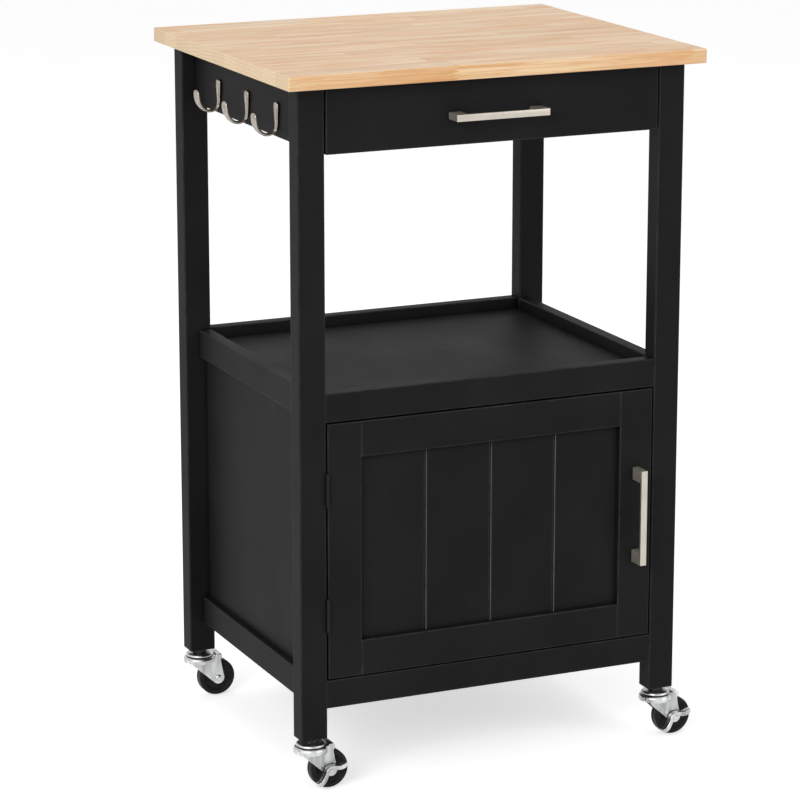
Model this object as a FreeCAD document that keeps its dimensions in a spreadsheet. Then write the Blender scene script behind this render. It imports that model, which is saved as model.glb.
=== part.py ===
import FreeCAD, Part
import math
import os
import re

import Sketcher

# Kitchen cart with a wooden worktop, one drawer, an open shelf, a cupboard and four casters.
# Lengths are in millimetres. The origin is on the floor under the middle of the worktop,
# +X is to the right of someone who faces the drawer, +Y is away from them and +Z is up.

SIZES = [
    # Worktop and the stand of the legs under it
    ("top_width", 558, "worktop, left to right"),
    ("top_depth", 457, "worktop, front to back"),
    ("top_thick", 18, "worktop board"),
    ("top_height", 900, "floor to the worktop's face"),
    ("top_round", 1.5, "rounding of the worktop's edges"),
    ("side_overhang", 19, "worktop edge to a leg's outer face"),
    ("front_overhang", 21.5, "worktop edge to the front legs"),
    ("rear_overhang", 23.5, "worktop edge to the rear legs"),
    ("leg_width", 35, "leg, left to right"),
    ("leg_depth", 26, "leg, front to back"),
    ("leg_foot_height", 67, "floor to a leg's lower end"),
    ("leg_ease", 1, "bevel on a leg's edges"),
    # Rails, aprons and the panels that they hold
    ("rail_thick", 16, "rails and aprons"),
    ("rail_height", 36, "shelf rails and bottom rails"),
    ("rail_ease", 0.5, "bevel on a board's edges"),
    ("front_rail_setback", 1, "front rails behind the legs' faces"),
    ("rear_rail_setback", 2, "rear rails before the legs' rear faces"),
    ("apron_height", 76, "aprons"),
    ("shelf_rail_foot_height", 471, "floor to the shelf rails' lower edge"),
    ("bottom_rail_foot_height", 106, "floor to the bottom rails' lower edge"),
    ("shelf_drop", 15, "shelf rails' top down to the shelf board"),
    ("floor_drop", 8, "bottom rails' top down to the floor board"),
    ("deck_thick", 6, "shelf board and floor board"),
    ("groove_depth", 4, "grooves for boards and panels"),
    ("tongue_gap", 0.2, "end of a tongue to the bottom of its groove"),
    ("groove_gap", 0.1, "side of a tongue to the side of its groove"),
    ("wall_panel_thick", 4, "side and back panels"),
    ("side_panel_setback", 9, "side rail's outer face to the side panel"),
    ("back_panel_setback", 6, "rear rail's inner face to the back panel"),
    ("stretcher_width", 50, "flat rail under the worktop"),
    ("stretcher_gap", 2, "drawer front to the flat rail"),
    ("stretcher_dowel_spread", 12, "middle of the flat rail to its dowels"),
    ("stretcher_dowel_grip", 10, "dowel in the apron"),
    # Dowels and cam fittings in the joints
    ("dowel_radius", 3, "dowel"),
    ("dowel_length", 30, "dowel"),
    ("dowel_gap", 0.05, "dowel to its bore, all round"),
    ("dowel_end_gap", 0.5, "dowel's end to the bottom of its bore"),
    ("dowel_rise", 10, "rail's middle line to its dowel"),
    ("apron_dowel_rise", 12, "side apron's middle line to a dowel"),
    ("rear_apron_dowel_rise", 26, "rear apron's middle line to a dowel"),
    ("cam_offset", 10.5, "rail's middle line to its cam bolt"),
    ("cam_bolt_radius", 2.8, "cam bolt's shank"),
    ("cam_bolt_grip", 11, "cam bolt in the leg"),
    ("cam_head_radius", 3.6, "cam bolt's head"),
    ("cam_head_thick", 2, "cam bolt's head"),
    ("cam_reach", 24, "rail's end to the middle of the cam"),
    ("cam_radius", 6, "cam"),
    ("cam_length", 12, "cam"),
    ("cam_gap", 0.1, "cam to its bore, all round"),
    ("cam_bore_gap", 0.3, "cam bolt to the rail's bore"),
    ("cam_slot_length", 8, "screwdriver slots in the cam"),
    ("cam_slot_width", 1.4, "screwdriver slots in the cam"),
    ("cam_slot_depth", 1.5, "screwdriver slots in the cam"),
    # Screws
    ("screw_radius", 2, "wood screw's shank"),
    ("screw_head_radius", 3.8, "wood screw's head"),
    ("screw_head_thick", 2.2, "wood screw's head"),
    ("screw_gap", 0.05, "screw to the wood round it"),
    ("screw_recess_radius", 1.2, "driver recess"),
    ("screw_recess_depth", 1.2, "driver recess"),
    ("top_screw_bite", 12, "screw in the worktop"),
    ("top_screw_spread", 120, "middle of the cart to a worktop screw"),
    ("top_screw_sink", 46, "counterbore in the rear apron"),
    ("counterbore_gap", 0.6, "screw head to its counterbore"),
    ("small_screw_radius", 1.25, "hinge and catch screw's shank"),
    ("small_screw_head_radius", 2.6, "hinge and catch screw's head"),
    ("small_screw_length", 12, "hinge and catch screw"),
    ("small_screw_recess_depth", 0.5, "driver recess"),
    # Door
    ("door_gap", 2, "door to the frame, and drawer front to the frame"),
    ("door_thick", 16, "stiles and rails of the door"),
    ("stile_width", 45, "door stiles"),
    ("door_rail_height", 45, "door rails"),
    ("door_panel_thick", 6, "door panel"),
    ("door_panel_setback", 7, "door's face to its panel"),
    ("door_groove_depth", 6, "groove round the door panel"),
    ("door_tongue", 5, "tongues in that groove"),
    ("plank_groove_width", 2.5, "grooves between the panel's planks"),
    ("plank_groove_depth", 1.5, "grooves between the panel's planks"),
    # Pull handles
    ("handle_length", 124.5, "pull handle"),
    ("handle_bar_height", 8.5, "pull handle's face"),
    ("handle_bar_thick", 3.5, "pull handle's bar"),
    ("handle_post_length", 16, "foot at each end of a pull handle"),
    ("handle_reach", 24.5, "front of a handle to the wood"),
    ("handle_ease", 0.5, "bevel on a handle's edges"),
    ("handle_screw_bite", 8, "screw in a handle's foot"),
    ("door_handle_inset", 22, "door's edge to the middle of its handle"),
    ("drawer_handle_drop", 3.5, "drawer front's middle to its handle"),
    # Butt hinges
    ("hinge_length", 42, "hinge"),
    ("hinge_inset", 61.5, "door's end to a hinge"),
    ("hinge_leaf_thick", 0.8, "hinge leaf"),
    ("hinge_leaf_width", 20, "hinge leaf on the wood"),
    ("hinge_screw_spread", 12, "middle of a hinge to a screw"),
    ("knuckle_radius", 2.2, "hinge knuckle"),
    ("knuckle_gap", 0.3, "knuckle to the wood, and leaf to the other knuckle"),
    ("knuckle_end_gap", 0.15, "between two knuckles"),
    ("hinge_pin_radius", 1, "hinge pin"),
    ("hinge_pin_gap", 0.08, "hinge pin to its bore"),
    # Magnet catch
    ("catch_inset", 63, "door's free edge to the middle of the catch"),
    ("catch_width", 34, "catch body"),
    ("catch_depth", 14, "catch body"),
    ("catch_height", 15, "catch body"),
    ("catch_plate_width", 46, "catch's fixing plate"),
    ("catch_plate_thick", 3, "catch's fixing plate"),
    ("catch_plate_height", 13, "catch's fixing plate"),
    ("catch_screw_spread", 17, "middle of the catch to a screw"),
    ("catch_screw_bite", 9, "catch screw in the rail"),
    # Drawer
    ("drawer_front_height", 80, "drawer front"),
    ("drawer_front_thick", 16, "drawer front"),
    ("drawer_side_gap", 4, "drawer box to the apron"),
    ("drawer_side_thick", 14, "drawer sides"),
    ("drawer_side_height", 50, "drawer sides"),
    ("drawer_side_rise", 12, "drawer front's lower edge to the sides' lower edge"),
    ("drawer_rear_gap", 28, "drawer to the rear apron"),
    ("drawer_tenon", 6, "drawer sides let into the front"),
    ("drawer_back_thick", 14, "drawer back"),
    ("drawer_bottom_thick", 4, "drawer bottom"),
    ("drawer_bottom_rise", 5, "drawer side's lower edge to the bottom board"),
    ("drawer_screw_inset", 9, "drawer side's upper edge to the back's screw"),
    ("drawer_screw_bite", 20, "screw in the drawer's back"),
    ("runner_height", 14, "runner strip"),
    ("runner_thick", 11.5, "runner strip"),
    ("runner_rise", 17, "drawer sides' lower edge to the runner strips"),
    ("runner_gap", 0.3, "runner strip to the drawer side's groove"),
    ("runner_side_gap", 0.5, "runner strip to the bottom of that groove"),
    ("runner_front_gap", 6, "drawer front to the runner's end"),
    ("runner_rear_gap", 14, "runner's end to the rear legs"),
    ("runner_screw_inset", 40, "runner's end to its screw"),
    ("runner_screw_sink", 4, "counterbore in a runner"),
    # Hooks
    ("hook_reach", 33.5, "apron to the front of a hook"),
    ("hook_height", 41, "hook, over all"),
    ("hook_width", 12, "hook at its widest"),
    ("hook_thick", 4.6, "hook at its thickest"),
    ("hook_spacing", 96.5, "between hooks"),
    ("hook_row_place", -4, "middle hook, front to back"),
    ("hook_rise", 2, "apron's lower edge to the hooks' lowest point"),
    ("hook_seat_gap", 0.05, "hook to the apron"),
    ("hook_screw_rise", 15.5, "hook's lowest point to its screw"),
    ("hook_screw_bite", 1.4, "screw in the hook's back"),
    ("hook_screw_radius", 1.5, "hook screw's shank"),
    ("hook_screw_head_radius", 3, "hook screw's head"),
    ("hook_screw_head_thick", 1.6, "hook screw's head"),
    # Casters
    ("wheel_radius", 25, "caster wheel"),
    ("wheel_width", 17, "caster wheel"),
    ("wheel_hub_radius", 8, "hub of the wheel"),
    ("wheel_rim_radius", 19.5, "inside of the tyre's shoulder"),
    ("wheel_web_sink", 1.2, "web of the wheel behind its rim"),
    ("wheel_shoulder", 2.5, "bevel on the tread"),
    ("wheel_bore_gap", 0.06, "wheel to its axle"),
    ("caster_trail", 22.5, "swivel axis to wheel axis"),
    ("axle_radius", 3, "axle"),
    ("axle_hole_gap", 0.05, "axle to the fork and the brake"),
    ("axle_head_radius", 4.2, "axle's heads"),
    ("axle_head_thick", 2.4, "axle's heads"),
    ("axle_seat_gap", 0.05, "axle's head to what it holds"),
    ("arm_gap", 1.1, "wheel's hub to a fork arm"),
    ("arm_thick", 2.2, "fork arm"),
    ("arm_end_radius", 8.5, "fork arm round the axle"),
    ("arm_front_reach", 14, "swivel axis to the arm's front"),
    ("arm_front_height", 44, "floor to the arm's front corner"),
    ("arm_rear_slope", 6.5, "arm's rear edge, forward of its end"),
    ("shoulder_reach", 28.5, "swivel axis to the fork's rear shoulder"),
    ("shoulder_gap", 0.8, "upper race to the fork's rear shoulder"),
    ("shoulder_rise", 2, "fork's rear shoulder above its crown"),
    ("shoulder_bevel", 2.5, "fork's rear shoulder"),
    ("crown_radius", 21.5, "fork's crown"),
    ("crown_foot_height", 49, "floor to the crown's rim"),
    ("crown_height", 57.5, "floor to the crown's top"),
    ("crown_thick", 2.5, "crown's plate and rim"),
    ("race_gap", 0.4, "crown to the upper race"),
    ("race_radius", 18.5, "upper race"),
    ("race_thick", 3.6, "upper race"),
    ("collar_radius", 9.5, "collar under the leg"),
    ("king_pin_radius", 4, "pin through the crown"),
    ("king_pin_gap", 0.1, "that pin to the crown"),
    ("king_pin_head_radius", 6, "riveted end of that pin"),
    ("king_pin_head_thick", 2.5, "riveted end of that pin"),
    ("king_pin_seat_gap", 0.3, "riveted end to the crown"),
    ("stem_radius", 4.95, "stem in the leg"),
    ("stem_length", 36, "stem in the leg"),
    ("stem_gap", 0.05, "stem to its bore"),
    ("stem_tip_bevel", 1, "stem's upper end"),
    ("lever_gap", 0.4, "brake lever to the fork arm"),
    ("lever_thick", 1.6, "brake lever's sheet"),
    ("lever_width", 10, "brake lever's pedal, side to side"),
    ("lever_toe_reach", 19, "axle to the lever's upper end"),
    ("lever_toe_rise", 9.5, "axle to the lever's upper end"),
    ("lever_heel_reach", 21, "axle to the lever's lower end"),
    ("lever_heel_drop", 14.5, "axle to the lever's lower end"),
    ("lever_ridge_rise", 7, "axle to the top of the lever's bend"),
    ("lever_web_radius", 7.5, "lever's web round the axle"),
    # Cutting
    ("overrun", 1, "how far a cut starts outside the wood"),
]

PLANKS_IN_DOOR = 4
HOOKS = (-1, 0, 1)
RUNNER_SCREWS = (-1, 0, 1)

doc = FreeCAD.newDocument("kitchen_cart")
sheet = doc.addObject("Spreadsheet::Sheet", "Sizes")
for row, (alias, value, note) in enumerate(SIZES, start=1):
    sheet.set("A%d" % row, alias)
    sheet.set("B%d" % row, str(value))
    sheet.setAlias("B%d" % row, alias)
    sheet.set("C%d" % row, note)
doc.recompute()
ALIASES = {alias for alias, value, note in SIZES}

# Places that many pieces share, as sums of the sheet's sizes
LEG_OUT = "(top_width / 2 - side_overhang)"
LEG_IN = "(top_width / 2 - side_overhang - leg_width)"
FRONT = "(front_overhang - top_depth / 2)"
BACK = "(top_depth / 2 - rear_overhang)"
FRONT_LEG_REAR = "(front_overhang - top_depth / 2 + leg_depth)"
REAR_LEG_FRONT = "(top_depth / 2 - rear_overhang - leg_depth)"
TOP_UNDER = "(top_height - top_thick)"
SIDE_RAIL_OUT = "(top_width / 2 - side_overhang - leg_width + rail_thick)"
SIDE_RAIL_LENGTH = "(%s - %s)" % (REAR_LEG_FRONT, FRONT_LEG_REAR)
FRONT_RAIL_FRONT = "(%s + front_rail_setback)" % FRONT
FRONT_RAIL_IN = "(%s + front_rail_setback + rail_thick)" % FRONT
REAR_RAIL_IN = "(%s - rear_rail_setback - rail_thick)" % BACK
TONGUE = "(groove_depth - tongue_gap)"
APRON_FOOT = "(top_height - top_thick - apron_height)"
SHELF_RAIL_TOP = "(shelf_rail_foot_height + rail_height)"
BOTTOM_RAIL_TOP = "(bottom_rail_foot_height + rail_height)"
DRAWER_BOX_OUT = "(%s - drawer_side_gap)" % LEG_IN
DRAWER_BOX_IN = "(%s - drawer_side_gap - drawer_side_thick)" % LEG_IN
DRAWER_BACK_FACE = "(%s + drawer_front_thick)" % FRONT
DRAWER_FRONT_FOOT = "(top_height - top_thick - door_gap - drawer_front_height)"
DRAWER_SIDE_FOOT = "(%s + drawer_side_rise)" % DRAWER_FRONT_FOOT
DRAWER_REAR = "(%s - drawer_rear_gap)" % REAR_RAIL_IN
DRAWER_LENGTH = "(%s - %s)" % (DRAWER_REAR, DRAWER_BACK_FACE)
RUNNER_FRONT = "(%s + runner_front_gap)" % DRAWER_BACK_FACE
RUNNER_LENGTH = "(%s - runner_rear_gap - %s)" % (REAR_LEG_FRONT, RUNNER_FRONT)
RUNNER_FOOT = "(%s + runner_rise)" % DRAWER_SIDE_FOOT
HOOK_FOOT = "(%s + hook_rise)" % APRON_FOOT
DOOR_HALF = "(%s - door_gap)" % LEG_IN
DOOR_FOOT = "(%s + door_gap)" % BOTTOM_RAIL_TOP
DOOR_TOP = "(shelf_rail_foot_height - door_gap)"
DOOR_BACK_FACE = "(%s + door_thick)" % FRONT
CATCH_PLACE = "(%s - catch_inset)" % DOOR_HALF
HINGE_X = "(door_gap / 2 - %s)" % LEG_IN
HINGE_Y = "(%s - knuckle_gap - knuckle_radius)" % FRONT

UPRIGHT = FreeCAD.Rotation()
BOX_EDGES = ["Edge%d" % number for number in range(1, 13)]
WAYS = {
    "+x": FreeCAD.Vector(1, 0, 0),
    "-x": FreeCAD.Vector(-1, 0, 0),
    "+y": FreeCAD.Vector(0, 1, 0),
    "-y": FreeCAD.Vector(0, -1, 0),
    "+z": FreeCAD.Vector(0, 0, 1),
    "-z": FreeCAD.Vector(0, 0, -1),
}
AGAINST = {"+x": "-x", "-x": "+x", "+y": "-y", "-y": "+y", "+z": "-z", "-z": "+z"}

corners = {}
loose = {"frame_screws": [], "door_screws": [], "drawer_screws": [], "dowels": [], "cam_fittings": []}
subparts = []


def bind(thing, prop, text):
    """Tie a property to a sum of the sheet's sizes."""
    names = re.compile(r"[a-z_]+")
    tied = names.sub(lambda found: "Sizes." * (found.group() in ALIASES) + found.group(), text)
    thing.setExpression(prop, tied)


def size_of(alias):
    """The sheet's value, for shapes that are worked out here."""
    return float(getattr(sheet, alias))


def place(thing, at, turn=UPRIGHT):
    """Put a piece at a point given as three sums."""
    thing.Placement = FreeCAD.Placement(FreeCAD.Vector(), turn)
    for axis, text in zip("xyz", at):
        bind(thing, "Placement.Base." + axis, text)


def turn_to(way):
    """The rotation that lays a +Z piece along the given way."""
    return FreeCAD.Rotation(WAYS["+z"], WAYS[way])


def moved(at, way, distance):
    """A point carried along a way by a distance."""
    steps = ["%s + (%s) * %d" % (text, distance, part) for text, part in zip(at, WAYS[way])]
    return [step if part else text for step, text, part in zip(steps, at, WAYS[way])]


def on_side(side, inner, outer):
    """The lower x of something that lies between two distances from the middle."""
    return "-%s" % outer if side == "left" else inner


def sign_of(side):
    return "-1" if side == "left" else "1"


def new_body(label, at):
    """An empty body whose own origin is the given point."""
    owner = doc.addObject("PartDesign::Body", label)
    owner.Label = label
    place(owner, at)
    corners[label] = at
    return owner


def add(owner, kind, at, turn=UPRIGHT, **sizes):
    """A primitive of a body, placed by a point of the whole cart."""
    made = owner.newObject("PartDesign::" + kind, "%s_step" % owner.Label)
    for prop, text in sizes.items():
        bind(made, prop, text)
    start = corners[owner.Label]
    place(made, ["(%s) - (%s)" % pair for pair in zip(at, start)], turn)
    return made


def soften(owner, base, kind, size):
    """A bevel or a rounding on every edge of a plain block."""
    made = owner.newObject("PartDesign::" + kind, "%s_edges" % owner.Label)
    made.Base = (base, BOX_EDGES)
    bind(made, "Size" if kind == "Chamfer" else "Radius", size)


def board(label, corner, size, ease="rail_ease"):
    """A rectangular board from its lowest corner, with bevelled edges."""
    owner = new_body(label, corner)
    block = add(owner, "AdditiveBox", corner, Length=size[0], Width=size[1], Height=size[2])
    if ease:
        soften(owner, block, "Chamfer", ease)
    subparts.append(owner)
    return owner


def trench(owner, corner, size):
    """A rectangular cut."""
    return add(owner, "SubtractiveBox", corner, Length=size[0], Width=size[1], Height=size[2])


def bore(owner, at, way, radius, depth):
    """A round hole that starts on a face."""
    start = moved(at, AGAINST[way], "overrun")
    length = "%s + overrun" % depth
    return add(owner, "SubtractiveCylinder", start, turn_to(way), Radius=radius, Height=length)


def rod(at, way, radius, length):
    made = doc.addObject("Part::Cylinder", "rod")
    bind(made, "Radius", radius)
    bind(made, "Height", length)
    place(made, at, turn_to(way))
    return made


def block(corner, size):
    made = doc.addObject("Part::Box", "block")
    for prop, text in zip(("Length", "Width", "Height"), size):
        bind(made, prop, text)
    place(made, corner)
    return made


def fuse(pieces):
    made = doc.addObject("Part::MultiFuse", "joined")
    made.Shapes = pieces
    return made


def cut(base, tool):
    made = doc.addObject("Part::Cut", "cut")
    made.Base = base
    made.Tool = tool
    return made


def group(label, pieces):
    """Separate solids that share one node."""
    made = doc.addObject("Part::Compound", label)
    made.Label = label
    made.Links = pieces
    subparts.append(made)
    return made


def outline(owner, plane, points):
    """A closed outline of straight sides with a named place for each corner."""
    drawn = owner.newObject("Sketcher::SketchObject", "%s_outline" % owner.Label)
    drawn.AttachmentSupport = [(role_plane(owner, plane), "")]
    drawn.MapMode = "FlatFace"
    count = len(points)
    ring = [2 * math.pi * number / count for number in range(count + 1)]
    spots = [FreeCAD.Vector(math.cos(angle), math.sin(angle), 0) for angle in ring]
    for number in range(count):
        drawn.addGeometry(Part.LineSegment(spots[number], spots[number + 1]), False)
    for number in range(count):
        drawn.addConstraint(Sketcher.Constraint("Coincident", number, 2, (number + 1) % count, 1))
    for number, corner in enumerate(points):
        for kind, text in zip(("DistanceX", "DistanceY"), corner):
            tie = drawn.addConstraint(Sketcher.Constraint(kind, -1, 1, number, 1, 1.0))
            bind(drawn, "Constraints[%d]" % tie, text)
    return drawn


def role_plane(owner, role):
    return next(one for one in owner.Origin.OriginFeatures if one.Role == role)


def turned(label, at, profile, way="+z"):
    """A round piece from half its section: radius and distance along its axis."""
    owner = new_body(label, at)
    drawn = outline(owner, "XZ_Plane", profile)
    spun = owner.newObject("PartDesign::Revolution", "%s_turn" % label)
    spun.Profile = drawn
    spun.ReferenceAxis = (drawn, ["V_Axis"])
    spun.Angle = 360
    place(owner, at, turn_to(way))
    return owner


def screw(node, at, way, length, radius="screw_radius", head="screw_head_radius",
          thick="screw_head_thick", recess="screw_recess_depth"):
    """A screw whose head rests at the point and whose shank runs along the way."""
    shank = rod(at, way, radius, length)
    cap = rod(at, AGAINST[way], head, thick)
    socket = rod(moved(at, AGAINST[way], "%s - %s" % (thick, recess)), AGAINST[way],
                 "screw_recess_radius", "%s + overrun" % recess)
    loose[node].append(cut(fuse([shank, cap]), socket))


def screw_holes(through, into, at, way, thick, bite, radius="screw_radius"):
    """The hole for a screw through one piece and on into the next."""
    snug = "%s + screw_gap" % radius
    bore(through, at, way, snug, "%s + overrun" % thick)
    bore(into, moved(at, way, thick), way, snug, "%s + screw_gap" % bite)


def dowel(first, second, at, way, grip="dowel_length / 2"):
    """A dowel across a joint: grip is how deep it goes into the first piece."""
    snug = "dowel_radius + dowel_gap"
    bore(first, at, AGAINST[way], snug, "%s + dowel_end_gap" % grip)
    bore(second, at, way, snug, "dowel_length - %s + dowel_end_gap" % grip)
    loose["dowels"].append(rod(moved(at, AGAINST[way], grip), way, "dowel_radius", "dowel_length"))


def cam_joint(leg, rail, at, way, face_y, face_way):
    """A cam bolt from a leg into a rail, and the cam that pulls it tight."""
    bore(leg, at, AGAINST[way], "cam_bolt_radius + screw_gap", "cam_bolt_grip + screw_gap")
    bore(rail, at, way, "cam_bolt_radius + cam_bore_gap", "cam_reach")
    middle = moved(at, way, "cam_reach")
    middle[1] = face_y
    bore(rail, middle, face_way, "cam_radius + cam_gap", "cam_length + cam_gap")
    shank = rod(moved(at, AGAINST[way], "cam_bolt_grip"), way, "cam_bolt_radius",
                "cam_bolt_grip + cam_reach")
    end = moved(at, way, "cam_reach")
    head = rod(moved(end, AGAINST[way], "cam_head_thick / 2"), way, "cam_head_radius", "cam_head_thick")
    loose["cam_fittings"].append(fuse([shank, head]))
    disc = rod(middle, face_way, "cam_radius", "cam_length")
    throat = rod(moved(end, AGAINST[way], "cam_radius + overrun"), way,
                 "cam_head_radius + cam_bore_gap", "cam_radius + overrun + cam_head_thick")
    lowest_y = face_y if face_way == "+y" else "%s - cam_slot_depth" % face_y
    slots = []
    for wide, high in (("cam_slot_length", "cam_slot_width"), ("cam_slot_width", "cam_slot_length")):
        corner = ["%s - %s / 2" % (middle[0], wide), lowest_y, "%s - %s / 2" % (middle[2], high)]
        slots.append(block(corner, (wide, "cam_slot_depth", high)))
    loose["cam_fittings"].append(cut(disc, fuse([throat] + slots)))


# Worktop
worktop = new_body("worktop", ["-top_width / 2", "-top_depth / 2", TOP_UNDER])
slab = add(worktop, "AdditiveBox", corners["worktop"],
           Length="top_width", Width="top_depth", Height="top_thick")
soften(worktop, slab, "Fillet", "top_round")
subparts.append(worktop)

# Legs
legs = {}
for side in ("left", "right"):
    for end, near_y in (("front", FRONT), ("rear", REAR_LEG_FRONT)):
        corner = [on_side(side, LEG_IN, LEG_OUT), near_y, "leg_foot_height"]
        height = "%s - leg_foot_height" % TOP_UNDER
        legs[end, side] = board("leg_%s_%s" % (end, side), corner,
                                ("leg_width", "leg_depth", height), ease="leg_ease")

# Side aprons and side rails, with two dowels or one in each end
side_boards = {}
for side in ("left", "right"):
    rows = (
        ("apron", APRON_FOOT, "apron_height", ("-apron_dowel_rise", "apron_dowel_rise")),
        ("shelf_rail", "shelf_rail_foot_height", "rail_height", ("0",)),
        ("bottom_rail", "bottom_rail_foot_height", "rail_height", ("0",)),
    )
    for kind, foot, height, rises in rows:
        corner = [on_side(side, LEG_IN, SIDE_RAIL_OUT), FRONT_LEG_REAR, foot]
        made = board("%s_%s" % (kind, side), corner, ("rail_thick", SIDE_RAIL_LENGTH, height))
        side_boards[kind, side] = made
        for rise in rises:
            middle_x = "%s * (%s + rail_thick / 2)" % (sign_of(side), LEG_IN)
            level = "%s + %s / 2 + (%s)" % (foot, height, rise)
            dowel(legs["front", side], made, [middle_x, FRONT_LEG_REAR, level], "+y")
            dowel(legs["rear", side], made, [middle_x, REAR_LEG_FRONT, level], "-y")

# Rails across the front and the rear, each held by a dowel and a cam bolt at both ends
cross_boards = {}
cross_rows = (
    ("shelf_rail_front", FRONT_RAIL_FRONT, "shelf_rail_foot_height", "rail_height",
     ("dowel_rise",), "-cam_offset", "inner"),
    ("shelf_rail_rear", REAR_RAIL_IN, "shelf_rail_foot_height", "rail_height",
     ("-dowel_rise",), "cam_offset", "rear"),
    ("bottom_rail_front", FRONT_RAIL_FRONT, "bottom_rail_foot_height", "rail_height",
     ("dowel_rise",), "-cam_offset", "inner"),
    ("bottom_rail_rear", REAR_RAIL_IN, "bottom_rail_foot_height", "rail_height",
     ("dowel_rise",), "-cam_offset", "rear"),
    ("apron_rear", REAR_RAIL_IN, APRON_FOOT, "apron_height",
     ("-rear_apron_dowel_rise", "rear_apron_dowel_rise"), "0", "rear"),
)
for label, near_y, foot, height, rises, cam_rise, cam_face in cross_rows:
    made = board(label, ["-%s" % LEG_IN, near_y, foot], ("2 * %s" % LEG_IN, "rail_thick", height))
    cross_boards[label] = made
    end = "front" if label.endswith("front") else "rear"
    middle_y = "%s + rail_thick / 2" % near_y
    far_y = "%s + rail_thick" % near_y
    face_way = "-y"
    for side, way in (("left", "+x"), ("right", "-x")):
        joint_x = "%s * %s" % (sign_of(side), LEG_IN)
        for rise in rises:
            level = "%s + %s / 2 + (%s)" % (foot, height, rise)
            dowel(legs[end, side], made, [joint_x, middle_y, level], way)
        level = "%s + %s / 2 + (%s)" % (foot, height, cam_rise)
        cam_joint(legs[end, side], made, [joint_x, middle_y, level], way, far_y, face_way)

# Flat rail under the worktop, doweled into the side aprons behind the drawer front
stretcher_y = "%s + stretcher_gap" % DRAWER_BACK_FACE
stretcher_z = "%s - rail_thick" % TOP_UNDER
stretcher = board("top_stretcher", ["-%s" % LEG_IN, stretcher_y, stretcher_z],
                  ("2 * %s" % LEG_IN, "stretcher_width", "rail_thick"))
for side, way in (("left", "+x"), ("right", "-x")):
    for spread in ("-stretcher_dowel_spread", "stretcher_dowel_spread"):
        at = ["%s * %s" % (sign_of(side), LEG_IN),
              "%s + stretcher_width / 2 + %s" % (stretcher_y, spread),
              "%s + rail_thick / 2" % stretcher_z]
        dowel(side_boards["apron", side], stretcher, at, way, grip="stretcher_dowel_grip")


def deck(label, rail_top, drop, rails):
    """A board let into grooves in four rails, with its corners cut round the legs."""
    foot = "%s - %s - deck_thick" % (rail_top, drop)
    left = "-(%s + %s)" % (LEG_IN, TONGUE)
    near = "%s - %s" % (FRONT_RAIL_IN, TONGUE)
    far = "%s + %s" % (REAR_RAIL_IN, TONGUE)
    made = board(label, [left, near, foot],
                 ("2 * (%s + %s)" % (LEG_IN, TONGUE), "%s - (%s)" % (far, near), "deck_thick"),
                 ease=None)
    notch_x = "%s + tongue_gap" % TONGUE
    notches = (
        ("left", "%s - overrun" % near, "%s + tongue_gap - (%s) + overrun" % (FRONT_LEG_REAR, near)),
        ("left", "%s - tongue_gap" % REAR_LEG_FRONT,
         "%s - (%s) + tongue_gap + overrun" % (far, REAR_LEG_FRONT)),
    )
    for name, near_y, length in notches:
        for side in ("left", "right"):
            low_x = "-(%s + %s) - overrun" % (LEG_IN, TONGUE)
            if side == "right":
                low_x = "%s - tongue_gap" % LEG_IN
            trench(made, [low_x, near_y, "%s - overrun" % foot],
                   ("%s + overrun" % notch_x, length, "deck_thick + 2 * overrun"))
    slot_foot = "%s - groove_gap" % foot
    slot_height = "deck_thick + 2 * groove_gap"
    for side in ("left", "right"):
        low_x = "-(%s + groove_depth)" % LEG_IN if side == "left" else "%s - overrun" % LEG_IN
        trench(side_boards[rails, side], [low_x, "%s - overrun" % FRONT_LEG_REAR, slot_foot],
               ("groove_depth + overrun", "%s + 2 * overrun" % SIDE_RAIL_LENGTH, slot_height))
    for end, low_y in (("front", "%s - groove_depth" % FRONT_RAIL_IN),
                       ("rear", "%s - overrun" % REAR_RAIL_IN)):
        trench(cross_boards["%s_%s" % (rails, end)],
               ["-%s - overrun" % LEG_IN, low_y, slot_foot],
               ("2 * (%s + overrun)" % LEG_IN, "groove_depth + overrun", slot_height))
    return made


shelf_panel = deck("shelf_panel", SHELF_RAIL_TOP, "shelf_drop", "shelf_rail")
floor_panel = deck("floor_panel", BOTTOM_RAIL_TOP, "floor_drop", "bottom_rail")

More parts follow.
